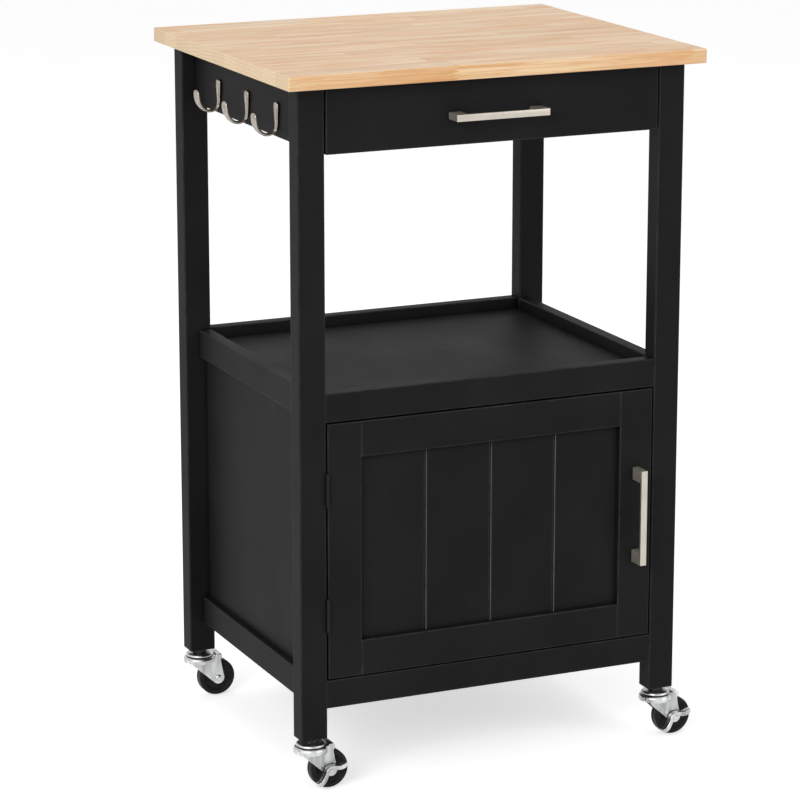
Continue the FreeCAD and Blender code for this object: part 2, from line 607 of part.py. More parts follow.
# Side panels of the cupboard, in grooves in two legs and two rails
wall_foot = "%s - %s" % (BOTTOM_RAIL_TOP, TONGUE)
wall_height = "shelf_rail_foot_height - %s + 2 * %s" % (BOTTOM_RAIL_TOP, TONGUE)
slot_thick = "wall_panel_thick + 2 * groove_gap"
open_height = "shelf_rail_foot_height - %s" % BOTTOM_RAIL_TOP
for side in ("left", "right"):
    outer = "(%s - side_panel_setback)" % SIDE_RAIL_OUT
    inner = "(%s - side_panel_setback - wall_panel_thick)" % SIDE_RAIL_OUT
    low_x = on_side(side, inner, outer)
    board("side_panel_%s" % side, [low_x, "%s - %s" % (FRONT_LEG_REAR, TONGUE), wall_foot],
          ("wall_panel_thick", "%s + 2 * %s" % (SIDE_RAIL_LENGTH, TONGUE), wall_height), ease=None)
    slot_x = "%s - groove_gap" % low_x
    trench(side_boards["bottom_rail", side],
           [slot_x, "%s - overrun" % FRONT_LEG_REAR, "%s - groove_depth" % BOTTOM_RAIL_TOP],
           (slot_thick, "%s + 2 * overrun" % SIDE_RAIL_LENGTH, "groove_depth + overrun"))
    trench(side_boards["shelf_rail", side],
           [slot_x, "%s - overrun" % FRONT_LEG_REAR, "shelf_rail_foot_height - overrun"],
           (slot_thick, "%s + 2 * overrun" % SIDE_RAIL_LENGTH, "groove_depth + overrun"))
    for end, low_y in (("front", "%s - groove_depth" % FRONT_LEG_REAR),
                       ("rear", "%s - overrun" % REAR_LEG_FRONT)):
        trench(legs[end, side], [slot_x, low_y, "%s - groove_depth" % BOTTOM_RAIL_TOP],
               (slot_thick, "groove_depth + overrun", "%s + 2 * groove_depth" % open_height))

# Back panel of the cupboard, in grooves in the rear legs and the rear rails
back_y = "%s + back_panel_setback" % REAR_RAIL_IN
board("back_panel", ["-(%s + %s)" % (LEG_IN, TONGUE), back_y, wall_foot],
      ("2 * (%s + %s)" % (LEG_IN, TONGUE), "wall_panel_thick", wall_height), ease=None)
back_slot_y = "%s - groove_gap" % back_y
for rail, low_z in (("bottom_rail_rear", "%s - groove_depth" % BOTTOM_RAIL_TOP),
                    ("shelf_rail_rear", "shelf_rail_foot_height - overrun")):
    trench(cross_boards[rail], ["-%s - overrun" % LEG_IN, back_slot_y, low_z],
           ("2 * (%s + overrun)" % LEG_IN, slot_thick, "groove_depth + overrun"))
for side in ("left", "right"):
    low_x = "-(%s + groove_depth)" % LEG_IN if side == "left" else "%s - overrun" % LEG_IN
    trench(legs["rear", side], [low_x, back_slot_y, "%s - groove_depth" % BOTTOM_RAIL_TOP],
           ("groove_depth + overrun", slot_thick, "%s + 2 * groove_depth" % open_height))

# Screws up into the worktop, through the flat rail and through the rear apron
apron_rear = cross_boards["apron_rear"]
for side in ("left", "right"):
    screw_x = "%s * top_screw_spread" % sign_of(side)
    at = [screw_x, "%s + stretcher_width / 2" % stretcher_y, stretcher_z]
    screw_holes(stretcher, worktop, at, "+z", "rail_thick", "top_screw_bite")
    screw("frame_screws", at, "+z", "rail_thick + top_screw_bite")
    foot = [screw_x, "%s + rail_thick / 2" % REAR_RAIL_IN, APRON_FOOT]
    bore(apron_rear, foot, "+z", "screw_head_radius + counterbore_gap", "top_screw_sink")
    seat = moved(foot, "+z", "top_screw_sink")
    left_over = "(apron_height - top_screw_sink)"
    screw_holes(apron_rear, worktop, seat, "+z", left_over, "top_screw_bite")
    screw("frame_screws", seat, "+z", "%s + top_screw_bite" % left_over)

# Runner strips for the drawer
for side, way in (("left", "-x"), ("right", "+x")):
    low_x = on_side(side, "(%s - runner_thick)" % LEG_IN, LEG_IN)
    made = board("cabinet_runner_%s" % side, [low_x, RUNNER_FRONT, RUNNER_FOOT],
                 ("runner_thick", RUNNER_LENGTH, "runner_height"))
    for number in RUNNER_SCREWS:
        seat = ["%s * (%s - runner_thick + runner_screw_sink)" % (sign_of(side), LEG_IN),
                "%s + %s / 2 + (%d) * (%s / 2 - runner_screw_inset)"
                % (RUNNER_FRONT, RUNNER_LENGTH, number, RUNNER_LENGTH),
                "%s + runner_height / 2" % RUNNER_FOOT]
        mouth = moved(seat, AGAINST[way], "runner_screw_sink")
        bore(made, mouth, way, "screw_head_radius + counterbore_gap", "runner_screw_sink")
        thick = "(runner_thick - runner_screw_sink)"
        screw_holes(made, side_boards["apron", side], seat, way, thick, "top_screw_bite")
        screw("frame_screws", seat, way, "%s + top_screw_bite" % thick)

# Drawer
drawer_front = board("drawer_front", ["-%s" % DOOR_HALF, FRONT, DRAWER_FRONT_FOOT],
                     ("2 * %s" % DOOR_HALF, "drawer_front_thick", "drawer_front_height"))
bottom_foot = "(%s + drawer_bottom_rise)" % DRAWER_SIDE_FOOT
drawer_sides = {}
for side in ("left", "right"):
    made = board("drawer_side_%s" % side,
                 [on_side(side, DRAWER_BOX_IN, DRAWER_BOX_OUT),
                  "%s - drawer_tenon" % DRAWER_BACK_FACE, DRAWER_SIDE_FOOT],
                 ("drawer_side_thick", "%s + drawer_tenon" % DRAWER_LENGTH, "drawer_side_height"))
    drawer_sides[side] = made
    trench(drawer_front,
           ["%s - groove_gap" % on_side(side, DRAWER_BOX_IN, DRAWER_BOX_OUT),
            "%s - drawer_tenon - groove_gap" % DRAWER_BACK_FACE,
            "%s - groove_gap" % DRAWER_SIDE_FOOT],
           ("drawer_side_thick + 2 * groove_gap", "drawer_tenon + groove_gap + overrun",
            "drawer_side_height + 2 * groove_gap"))
    run_depth = "(runner_thick - drawer_side_gap + runner_side_gap)"
    low_x = "-%s - overrun" % DRAWER_BOX_OUT
    if side == "right":
        low_x = "%s - %s" % (DRAWER_BOX_OUT, run_depth)
    trench(made, [low_x, DRAWER_BACK_FACE, "%s - runner_gap" % RUNNER_FOOT],
           ("%s + overrun" % run_depth, "%s + overrun" % DRAWER_LENGTH,
            "runner_height + 2 * runner_gap"))
    low_x = on_side(side, "(%s - overrun)" % DRAWER_BOX_IN, "(%s + groove_depth)" % DRAWER_BOX_IN)
    trench(made, [low_x, "%s - drawer_tenon - overrun" % DRAWER_BACK_FACE,
                  "%s - groove_gap" % bottom_foot],
           ("groove_depth + overrun", "%s + drawer_tenon + 2 * overrun" % DRAWER_LENGTH,
            "drawer_bottom_thick + 2 * groove_gap"))

back_foot = "(%s + drawer_bottom_thick + groove_gap)" % bottom_foot
drawer_back = board("drawer_back", ["-%s" % DRAWER_BOX_IN, "%s - drawer_back_thick" % DRAWER_REAR,
                                    back_foot],
                    ("2 * %s" % DRAWER_BOX_IN, "drawer_back_thick",
                     "%s + drawer_side_height - %s" % (DRAWER_SIDE_FOOT, back_foot)))
board("drawer_bottom", ["-(%s + %s)" % (DRAWER_BOX_IN, TONGUE),
                        "%s - %s" % (DRAWER_BACK_FACE, TONGUE), bottom_foot],
      ("2 * (%s + %s)" % (DRAWER_BOX_IN, TONGUE), "%s + %s" % (DRAWER_LENGTH, TONGUE),
       "drawer_bottom_thick"), ease=None)
trench(drawer_front,
       ["-%s - overrun" % DRAWER_BOX_IN, "%s - groove_depth" % DRAWER_BACK_FACE,
        "%s - groove_gap" % bottom_foot],
       ("2 * (%s + overrun)" % DRAWER_BOX_IN, "groove_depth + overrun",
        "drawer_bottom_thick + 2 * groove_gap"))
for side, way in (("left", "+x"), ("right", "-x")):
    at = ["%s * %s" % (sign_of(side), DRAWER_BOX_OUT), "%s - drawer_back_thick / 2" % DRAWER_REAR,
          "%s + drawer_side_height - drawer_screw_inset" % DRAWER_SIDE_FOOT]
    sunk = moved(at, way, "screw_head_thick")
    bore(drawer_sides[side], at, way, "screw_head_radius + screw_gap", "screw_head_thick")
    thick = "(drawer_side_thick - screw_head_thick)"
    screw_holes(drawer_sides[side], drawer_back, sunk, way, thick, "drawer_screw_bite")
    screw("drawer_screws", sunk, way, "%s + drawer_screw_bite" % thick)

# Door: two stiles, two rails between them and a panel of planks in a groove all round
door_height = "(%s - %s)" % (DOOR_TOP, DOOR_FOOT)
door_slot_y = "(%s + door_panel_setback - groove_gap)" % FRONT
door_slot = "(door_panel_thick + 2 * groove_gap)"
stiles = {}
for side in ("left", "right"):
    low_x = on_side(side, "(%s - stile_width)" % DOOR_HALF, DOOR_HALF)
    made = board("door_stile_%s" % side, [low_x, FRONT, DOOR_FOOT],
                 ("stile_width", "door_thick", door_height))
    stiles[side] = made
    slot_x = on_side(side, "(%s - stile_width - overrun)" % DOOR_HALF,
                     "(%s - stile_width + door_groove_depth)" % DOOR_HALF)
    trench(made, [slot_x, door_slot_y, "%s - overrun" % DOOR_FOOT],
           ("door_groove_depth + overrun", door_slot, "%s + 2 * overrun" % door_height))
rail_half = "(%s - stile_width)" % DOOR_HALF
for level, low_z in (("top", "(%s - door_rail_height)" % DOOR_TOP), ("bottom", DOOR_FOOT)):
    made = board("door_rail_%s" % level, ["-%s" % rail_half, FRONT, low_z],
                 ("2 * %s" % rail_half, "door_thick", "door_rail_height"))
    slot_z = "%s - overrun" % low_z
    if level == "bottom":
        slot_z = "%s + door_rail_height - door_groove_depth" % low_z
    trench(made, ["-%s - overrun" % rail_half, door_slot_y, slot_z],
           ("2 * (%s + overrun)" % rail_half, door_slot, "door_groove_depth + overrun"))
    tenon_z = "%s + door_groove_depth" % low_z if level == "top" else low_z
    for side in ("left", "right"):
        inner = "(%s - rail_ease - groove_gap)" % rail_half
        outer = "(%s + door_tongue)" % rail_half
        add(made, "AdditiveBox",
            [on_side(side, inner, outer), "%s + door_panel_setback" % FRONT, tenon_z],
            Length="door_tongue + rail_ease + groove_gap", Width="door_panel_thick",
            Height="door_rail_height - door_groove_depth")
door_panel = board("door_panel",
                   ["-(%s + door_tongue)" % rail_half, "%s + door_panel_setback" % FRONT,
                    "%s + door_rail_height - door_tongue" % DOOR_FOOT],
                   ("2 * (%s + door_tongue)" % rail_half, "door_panel_thick",
                    "%s - 2 * (door_rail_height - door_tongue)" % door_height), ease=None)
for number in range(1, PLANKS_IN_DOOR):
    middle_x = "%s * (%d / %d)" % (rail_half, 2 * number - PLANKS_IN_DOOR, PLANKS_IN_DOOR)
    trench(door_panel,
           ["%s - plank_groove_width / 2" % middle_x, "%s + door_panel_setback - overrun" % FRONT,
            DOOR_FOOT],
           ("plank_groove_width", "plank_groove_depth + overrun", door_height))


def pull_handle(label, middle, along, holder, holder_thick, node):
    """A flat bar on two feet, and the screws that hold it through the wood."""
    across = {"x": "z", "z": "x"}[along]
    slots = {"x": 0, "z": 2}
    half = "handle_length / 2"
    size = {along: "handle_length", across: "handle_bar_height"}
    low = list(middle)
    low[slots[along]] = "%s - %s" % (middle[slots[along]], half)
    low[slots[across]] = "%s - handle_bar_height / 2" % middle[slots[across]]
    low[1] = "%s - handle_reach" % middle[1]
    made = new_body(label, low)
    bar = add(made, "AdditiveBox", low, Length=size["x"], Width="handle_bar_thick", Height=size["z"])
    soften(made, bar, "Chamfer", "handle_ease")
    for end in (-1, 1):
        foot = list(low)
        foot[slots[along]] = "%s + (%d) * (%s - handle_post_length / 2) - handle_post_length / 2" % (
            middle[slots[along]], end, half)
        foot[1] = "%s - handle_reach + handle_bar_thick - handle_ease" % middle[1]
        post = dict(size)
        post[along] = "handle_post_length"
        inset = list(foot)
        inset[0] = "%s + handle_ease" % foot[0]
        inset[2] = "%s + handle_ease" % foot[2]
        add(made, "AdditiveBox", inset, Length="%s - 2 * handle_ease" % post["x"],
            Width="handle_reach - handle_bar_thick + handle_ease",
            Height="%s - 2 * handle_ease" % post["z"])
        hole = list(middle)
        hole[slots[along]] = "%s + (%d) * (%s - handle_post_length / 2)" % (
            middle[slots[along]], end, half)
        seat = moved(hole, "+y", holder_thick)
        screw_holes(holder, made, seat, "-y", holder_thick, "handle_screw_bite")
        screw(node, seat, "-y", "%s + handle_screw_bite" % holder_thick)
    subparts.append(made)
    return made


drawer_handle_z = "%s + drawer_front_height / 2 - drawer_handle_drop" % DRAWER_FRONT_FOOT
pull_handle("drawer_handle", ["0", FRONT, drawer_handle_z], "x", drawer_front,
            "drawer_front_thick", "drawer_screws")
door_middle_z = "(%s + %s) / 2" % (DOOR_FOOT, DOOR_TOP)
pull_handle("door_handle", ["%s - door_handle_inset" % DOOR_HALF, FRONT, door_middle_z], "z",
            stiles["right"], "door_thick", "door_screws")

# Butt hinges: the frame's leaf has the outer knuckles and the pin, the door's has the middle one
knuckle = "(hinge_length / 3)"
frame_leaves = []
door_leaves = []
leaf_y = "%s + knuckle_gap" % FRONT
neck = "(%s - %s)" % (leaf_y, HINGE_Y)
for number, hinge_foot in enumerate(("(%s + hinge_inset)" % DOOR_FOOT,
                                     "(%s - hinge_inset - hinge_length)" % DOOR_TOP)):
    frame_x = "-%s" % LEG_IN
    door_x = "(-%s - hinge_leaf_thick)" % DOOR_HALF
    frame_leaf = [block([frame_x, leaf_y, hinge_foot],
                        ("hinge_leaf_thick", "hinge_leaf_width", "hinge_length"))]
    for step in (0, 2):
        low_z = "%s + %d * %s" % (hinge_foot, step, knuckle)
        frame_leaf.append(block([frame_x, HINGE_Y, low_z], ("hinge_leaf_thick", neck, knuckle)))
        frame_leaf.append(rod([HINGE_X, HINGE_Y, low_z], "+z", "knuckle_radius", knuckle))
    pin_bore = rod([HINGE_X, HINGE_Y, "%s - overrun" % hinge_foot], "+z",
                   "hinge_pin_radius + hinge_pin_gap", "hinge_length + 2 * overrun")
    middle_foot = "%s + %s + knuckle_end_gap" % (hinge_foot, knuckle)
    middle_height = "%s - 2 * knuckle_end_gap" % knuckle
    door_leaf = [block([door_x, leaf_y, hinge_foot],
                       ("hinge_leaf_thick", "hinge_leaf_width", "hinge_length")),
                 block([door_x, HINGE_Y, middle_foot], ("hinge_leaf_thick", neck, middle_height)),
                 rod([HINGE_X, HINGE_Y, middle_foot], "+z", "knuckle_radius", middle_height)]
    frame_holes = [pin_bore]
    door_holes = [rod([HINGE_X, HINGE_Y, "%s - overrun" % hinge_foot], "+z",
                      "hinge_pin_radius + hinge_pin_gap", "hinge_length + 2 * overrun")]
    for spread in ("-hinge_screw_spread", "hinge_screw_spread"):
        level = "%s + hinge_length / 2 + (%s)" % (hinge_foot, spread)
        screw_y = "%s + hinge_leaf_width / 2" % leaf_y
        frame_seat = [frame_x, screw_y, level]
        door_seat = ["-%s" % DOOR_HALF, screw_y, level]
        frame_holes.append(rod(moved(frame_seat, "-x", "overrun"), "+x",
                               "small_screw_head_radius + screw_gap",
                               "hinge_leaf_thick + 2 * overrun"))
        door_holes.append(rod(moved(door_seat, "+x", "overrun"), "-x",
                              "small_screw_head_radius + screw_gap",
                              "hinge_leaf_thick + 2 * overrun"))
        bore(legs["front", "left"], frame_seat, "-x", "small_screw_radius + screw_gap",
             "small_screw_length + screw_gap")
        bore(stiles["left"], door_seat, "+x", "small_screw_radius + screw_gap",
             "small_screw_length + screw_gap")
        screw("frame_screws", frame_seat, "-x", "small_screw_length", radius="small_screw_radius",
              head="small_screw_head_radius", thick="hinge_leaf_thick",
              recess="small_screw_recess_depth")
        screw("door_screws", door_seat, "+x", "small_screw_length", radius="small_screw_radius",
              head="small_screw_head_radius", thick="hinge_leaf_thick",
              recess="small_screw_recess_depth")
    frame_leaves.append(cut(fuse(frame_leaf), fuse(frame_holes)))
    frame_leaves.append(rod([HINGE_X, HINGE_Y, hinge_foot], "+z", "hinge_pin_radius", "hinge_length"))
    door_leaves.append(cut(fuse(door_leaf), fuse(door_holes)))
group("hinge_frame_leaves", frame_leaves)
group("hinge_door_leaves", door_leaves)

# Magnet catch on the inner face of the front shelf rail
shelf_front = cross_boards["shelf_rail_front"]
catch = new_body("magnet_catch", ["%s - catch_width / 2" % CATCH_PLACE, FRONT_RAIL_IN,
                                  "shelf_rail_foot_height - catch_height"])
add(catch, "AdditiveBox", corners["magnet_catch"],
    Length="catch_width", Width="catch_depth", Height="catch_height")
add(catch, "AdditiveBox",
    ["%s - catch_plate_width / 2" % CATCH_PLACE, FRONT_RAIL_IN, "shelf_rail_foot_height - overrun"],
    Length="catch_plate_width", Width="catch_plate_thick", Height="catch_plate_height + overrun")
subparts.append(catch)
for spread in ("-catch_screw_spread", "catch_screw_spread"):
    seat = ["%s + (%s)" % (CATCH_PLACE, spread), "%s + catch_plate_thick" % FRONT_RAIL_IN,
            "shelf_rail_foot_height + catch_plate_height / 2"]
    screw_holes(catch, shelf_front, seat, "-y", "catch_plate_thick", "catch_screw_bite",
                radius="small_screw_radius")
    screw("frame_screws", seat, "-y", "catch_plate_thick + catch_screw_bite",
          radius="small_screw_radius", head="small_screw_head_radius", thick="hinge_leaf_thick",
          recess="small_screw_recess_depth")

# Hooks on the left apron: for each section, its distance from the apron, its height, its width
# and its thickness, as shares of the hook's own sizes
HOOK_SHARES = (
    (0.04, 0.985, 0.40, 0.35),
    (0.045, 0.95, 0.70, 0.52),
    (0.045, 0.80, 0.76, 0.54),
    (0.045, 0.55, 0.60, 0.54),
    (0.05, 0.30, 0.42, 0.56),
    (0.12, 0.15, 0.40, 0.62),
    (0.30, 0.065, 0.46, 0.70),
    (0.52, 0.065, 0.56, 0.78),
    (0.74, 0.18, 0.70, 0.86),
    (0.88, 0.36, 0.86, 0.96),
    (0.925, 0.55, 1.00, 1.00),
    (0.93, 0.67, 0.90, 0.86),
    (0.925, 0.70, 0.50, 0.44),
)


def hook_shape():
    """One cast hook that stands out from the plane x = 0 towards -X."""
    reach = size_of("hook_reach")
    height = size_of("hook_height")
    widest = size_of("hook_width")
    thickest = size_of("hook_thick")
    gap = size_of("hook_seat_gap")
    spots = [FreeCAD.Vector(-out * reach, 0, up * height) for out, up, wide, deep in HOOK_SHARES]
    for number, (out, up, wide, deep) in enumerate(HOOK_SHARES):
        spots[number].x = min(spots[number].x, -(deep * thickest / 2 + gap))
    sections = []
    last = len(spots) - 1
    for number, (out, up, wide, deep) in enumerate(HOOK_SHARES):
        along = spots[min(number + 1, last)] - spots[max(number - 1, 0)]
        along.normalize()
        sideways = FreeCAD.Vector(0, 1, 0)
        ring = Part.Ellipse(spots[number] + sideways * (wide * widest / 2),
                            spots[number] + along.cross(sideways) * (deep * thickest / 2),
                            spots[number])
        sections.append(Part.Wire([ring.toShape()]))
    return Part.makeLoft(sections, True, False)


hooks = []
for number in HOOKS:
    hook = doc.addObject("Part::Feature", "hook")
    hook.Shape = hook_shape()
    hook_y = "hook_row_place + (%d) * hook_spacing" % number
    place(hook, ["-%s" % SIDE_RAIL_OUT, hook_y, HOOK_FOOT])
    seat = ["-%s" % LEG_IN, hook_y, "%s + hook_screw_rise" % HOOK_FOOT]
    bore(side_boards["apron", "left"], seat, "-x", "hook_screw_radius + screw_gap",
         "rail_thick + overrun")
    screw("frame_screws", seat, "-x", "rail_thick + hook_seat_gap + hook_screw_bite",
          radius="hook_screw_radius", head="hook_screw_head_radius", thick="hook_screw_head_thick")
    pilot = rod(moved(seat, "-x", "rail_thick - overrun"), "-x", "hook_screw_radius + screw_gap",
                "overrun + hook_seat_gap + hook_screw_bite + screw_gap")
    hooks.append(cut(hook, pilot))
group("hooks", hooks)

# Casters: each fork trails towards +X
fork_places = {}
for end, near_y in (("front", FRONT), ("rear", REAR_LEG_FRONT)):
    for side in ("left", "right"):
        fork_places[end, side] = ["%s * (%s + leg_width / 2)" % (sign_of(side), LEG_IN),
                                  "%s + leg_depth / 2" % near_y, "0"]
ARM_IN = "(wheel_width / 2 + arm_gap)"
ARM_OUT = "(wheel_width / 2 + arm_gap + arm_thick)"
RACE_FOOT = "(crown_height + race_gap)"
PIN_HEAD_TOP = "(crown_height - crown_thick - king_pin_seat_gap)"


def caster_stem(end, side):
    """Riveted pin, upper race, collar and stem, turned as one."""
    race_top = "(%s + race_thick)" % RACE_FOOT
    stem_top = "(leg_foot_height + stem_length)"
    profile = (
        ("0", "%s - king_pin_head_thick" % PIN_HEAD_TOP),
        ("king_pin_head_radius", "%s - king_pin_head_thick" % PIN_HEAD_TOP),
        ("king_pin_head_radius", PIN_HEAD_TOP),
        ("king_pin_radius", PIN_HEAD_TOP),
        ("king_pin_radius", RACE_FOOT),
        ("race_radius", RACE_FOOT),
        ("race_radius", "%s - race_thick / 3" % race_top),
        ("race_radius - race_thick / 3", race_top),
        ("collar_radius", race_top),
        ("collar_radius", "leg_foot_height"),
        ("stem_radius", "leg_foot_height"),
        ("stem_radius", "%s - stem_tip_bevel" % stem_top),
        ("stem_radius - stem_tip_bevel", stem_top),
        ("0", stem_top),
    )
    at = fork_places[end, side]
    bore(legs[end, side], [at[0], at[1], "leg_foot_height"], "+z", "stem_radius + stem_gap",
         "stem_length + dowel_end_gap")
    return turned("stem_%s_%s" % (end, side), at, profile)


def caster_fork(end, side):
    """A pressed crown with two arms that hold the axle behind the swivel axis."""
    at = fork_places[end, side]
    label = "caster_fork_%s_%s" % (end, side)
    made = new_body(label, at)
    add(made, "AdditiveCylinder", [at[0], at[1], "crown_foot_height"],
        Radius="crown_radius", Height="crown_height - crown_foot_height")
    add(made, "SubtractiveCylinder", [at[0], at[1], "crown_foot_height - overrun"],
        Radius="crown_radius - crown_thick",
        Height="crown_height - crown_foot_height - crown_thick + overrun")
    slant = "arm_end_radius * 0.7071"
    shoulder_top = "(crown_height + shoulder_rise)"
    points = (
        ("-arm_front_reach", "crown_height - crown_thick / 2"),
        ("-arm_front_reach", "crown_foot_height"),
        ("-arm_front_reach * 0.75", "arm_front_height"),
        ("caster_trail - %s" % slant, "wheel_radius - %s" % slant),
        ("caster_trail + arm_end_radius", "wheel_radius"),
        ("caster_trail + arm_end_radius - arm_rear_slope", "crown_foot_height"),
        ("shoulder_reach", "%s - shoulder_bevel" % shoulder_top),
        ("shoulder_reach - shoulder_bevel", shoulder_top),
        ("race_radius + shoulder_gap + shoulder_bevel / 2", shoulder_top),
        ("race_radius + shoulder_gap", "crown_height - crown_thick / 2"),
    )
    drawn = outline(made, "XZ_Plane", points)
    arms = made.newObject("PartDesign::Pad", "%s_arms" % label)
    arms.Profile = drawn
    arms.Midplane = True
    bind(arms, "Length", "2 * %s" % ARM_OUT)
    axle_x = "%s + caster_trail" % at[0]
    add(made, "AdditiveCylinder", [axle_x, "%s - %s" % (at[1], ARM_OUT), "wheel_radius"],
        turn_to("+y"), Radius="arm_end_radius", Height="2 * %s" % ARM_OUT)
    trench(made, ["%s - arm_front_reach - overrun" % at[0], "%s - %s" % (at[1], ARM_IN), "0"],
           ("arm_front_reach + caster_trail + wheel_radius + 2 * overrun", "2 * %s" % ARM_IN,
            "crown_height - crown_thick"))
    bore(made, [at[0], at[1], "crown_height"], "-z", "king_pin_radius + king_pin_gap",
         "crown_thick + overrun")
    bore(made, [axle_x, "%s - %s" % (at[1], ARM_OUT), "wheel_radius"], "+y",
         "axle_radius + axle_hole_gap", "2 * %s + overrun" % ARM_OUT)
    subparts.append(made)


def caster_wheel(end, side):
    """A moulded wheel with a sunk web and a bevelled tread."""
    half = "wheel_width / 2"
    inner = "axle_radius + wheel_bore_gap"
    near = (
        (inner, half),
        ("wheel_hub_radius", half),
        ("wheel_hub_radius + wheel_web_sink", "%s - wheel_web_sink" % half),
        ("wheel_rim_radius - wheel_web_sink", "%s - wheel_web_sink" % half),
        ("wheel_rim_radius", half),
        ("wheel_radius - wheel_shoulder", half),
        ("wheel_radius - wheel_shoulder / 4", "%s - wheel_shoulder / 2" % half),
        ("wheel_radius", "%s - wheel_shoulder" % half),
    )
    far = [(radius, "-(%s)" % along) for radius, along in reversed(near)]
    at = fork_places[end, side]
    spot = ["%s + caster_trail" % at[0], at[1], "wheel_radius"]
    made = turned("caster_wheel_%s_%s" % (end, side), spot, list(near) + far, way="+y")
    subparts.append(made)


def caster_axle(end, side):
    """A rivet through the arms, the wheel and, in front, the brake lever."""
    near_face = ARM_OUT if end == "rear" else "(%s + lever_gap + lever_thick)" % ARM_OUT
    head = "(axle_seat_gap + axle_head_thick)"
    profile = (
        ("0", "-(%s + %s)" % (near_face, head)),
        ("axle_head_radius - axle_head_thick / 2", "-(%s + %s)" % (near_face, head)),
        ("axle_head_radius", "-(%s + %s - axle_head_thick / 2)" % (near_face, head)),
        ("axle_head_radius", "-(%s + axle_seat_gap)" % near_face),
        ("axle_radius", "-(%s + axle_seat_gap)" % near_face),
        ("axle_radius", "%s + axle_seat_gap" % ARM_OUT),
        ("axle_head_radius", "%s + axle_seat_gap" % ARM_OUT),
        ("axle_head_radius", "%s + %s - axle_head_thick / 2" % (ARM_OUT, head)),
        ("axle_head_radius - axle_head_thick / 2", "%s + %s" % (ARM_OUT, head)),
        ("0", "%s + %s" % (ARM_OUT, head)),
    )
    at = fork_places[end, side]
    spot = ["%s + caster_trail" % at[0], at[1], "wheel_radius"]
    made = turned("caster_axle_%s_%s" % (end, side), spot, profile, way="+y")
    subparts.append(made)


def brake_lever(end, side):
    """A pressed rocker on the axle: a web round the axle and a bent strip across it."""
    at = fork_places[end, side]
    label = "brake_lever_%s_%s" % (end, side)
    inner_face = "%s - (%s + lever_gap)" % (at[1], ARM_OUT)
    spot = ["%s + caster_trail" % at[0], inner_face, "wheel_radius"]
    made = new_body(label, spot)
    sheet_half = "lever_thick / 2"
    centre_line = (
        ("-lever_heel_reach", "-lever_heel_drop"),
        ("-lever_heel_reach * 0.72", "-lever_heel_drop * 0.72"),
        ("-lever_heel_reach * 0.5", "-lever_heel_drop * 0.2"),
        ("-lever_heel_reach * 0.38", "lever_ridge_rise * 0.45"),
        ("-lever_heel_reach * 0.2", "lever_ridge_rise * 0.9"),
        ("lever_toe_reach * 0.1", "lever_ridge_rise"),
        ("lever_toe_reach * 0.5", "lever_ridge_rise * 0.9"),
        ("lever_toe_reach", "lever_toe_rise"),
    )
    over = [("%s - %s" % (x, sheet_half), "%s + %s" % (z, sheet_half)) for x, z in centre_line]
    under = [("%s + %s" % (x, sheet_half), "%s - %s" % (z, sheet_half)) for x, z in centre_line]
    strip = made.newObject("PartDesign::Pad", "%s_strip" % label)
    strip.Profile = outline(made, "XZ_Plane", over + list(reversed(under)))
    bind(strip, "Length", "lever_width")
    add(made, "AdditiveCylinder", spot, turn_to("-y"), Radius="lever_web_radius", Height="lever_thick")
    bore(made, spot, "-y", "axle_radius + axle_hole_gap", "lever_thick + overrun")
    subparts.append(made)


stems = []
for end, side in fork_places:
    stems.append(caster_stem(end, side))
    caster_fork(end, side)
    caster_wheel(end, side)
    caster_axle(end, side)
    if end == "front":
        brake_lever(end, side)
group("caster_stems", stems)

for label, pieces in loose.items():
    group(label, pieces)

doc.recompute()

# Nothing is written unless every object is sound
for thing in doc.Objects:
    if "Invalid" in thing.State or "Error" in thing.State:
        raise RuntimeError("%s could not be worked out" % thing.Label)
for piece in subparts:
    if piece.Shape.isNull() or not piece.Shape.isValid():
        raise RuntimeError("%s has no sound shape" % piece.Label)

os.makedirs("parts", exist_ok=True)
for piece in subparts:
    piece.Shape.exportStep("parts/%s.step" % piece.Label)
    print("%-28s %2d solids %12.1f mm3" % (piece.Label, len(piece.Shape.Solids), piece.Shape.Volume))
print(len(subparts), "sub-parts")
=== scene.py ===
import math

import bmesh
import bpy
from bpy.props import FloatProperty, FloatVectorProperty, PointerProperty
from bpy.types import Operator, Panel, PropertyGroup
from mathutils import Matrix, Vector


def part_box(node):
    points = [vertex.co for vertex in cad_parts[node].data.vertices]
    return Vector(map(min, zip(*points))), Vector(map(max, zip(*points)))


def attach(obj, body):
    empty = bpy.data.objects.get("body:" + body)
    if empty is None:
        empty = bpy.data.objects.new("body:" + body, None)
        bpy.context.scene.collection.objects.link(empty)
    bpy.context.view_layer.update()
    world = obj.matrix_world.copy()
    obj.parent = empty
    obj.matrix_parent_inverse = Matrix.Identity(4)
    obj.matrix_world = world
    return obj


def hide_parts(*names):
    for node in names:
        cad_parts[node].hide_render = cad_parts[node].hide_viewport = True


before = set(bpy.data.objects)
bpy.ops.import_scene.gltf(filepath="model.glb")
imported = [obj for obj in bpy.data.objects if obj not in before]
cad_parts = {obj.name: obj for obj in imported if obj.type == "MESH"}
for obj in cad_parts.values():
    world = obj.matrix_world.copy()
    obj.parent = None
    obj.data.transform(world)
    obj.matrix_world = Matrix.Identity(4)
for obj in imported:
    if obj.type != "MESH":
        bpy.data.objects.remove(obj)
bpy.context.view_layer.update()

bl_info = {
    "name": "Kitchen Cart",
    "version": (1, 0, 0),
    "blender": (4, 5, 0),
    "location": "3D View > Sidebar > Kitchen Cart",
    "description": "Wood, paint and metal finishes, pulls, hooks, casters and studio of a kitchen cart",
    "category": "Object",
}

MM = 0.001
# The worktop's front edge, in front of the frame's origin
FRONT_EDGE = 0.2285
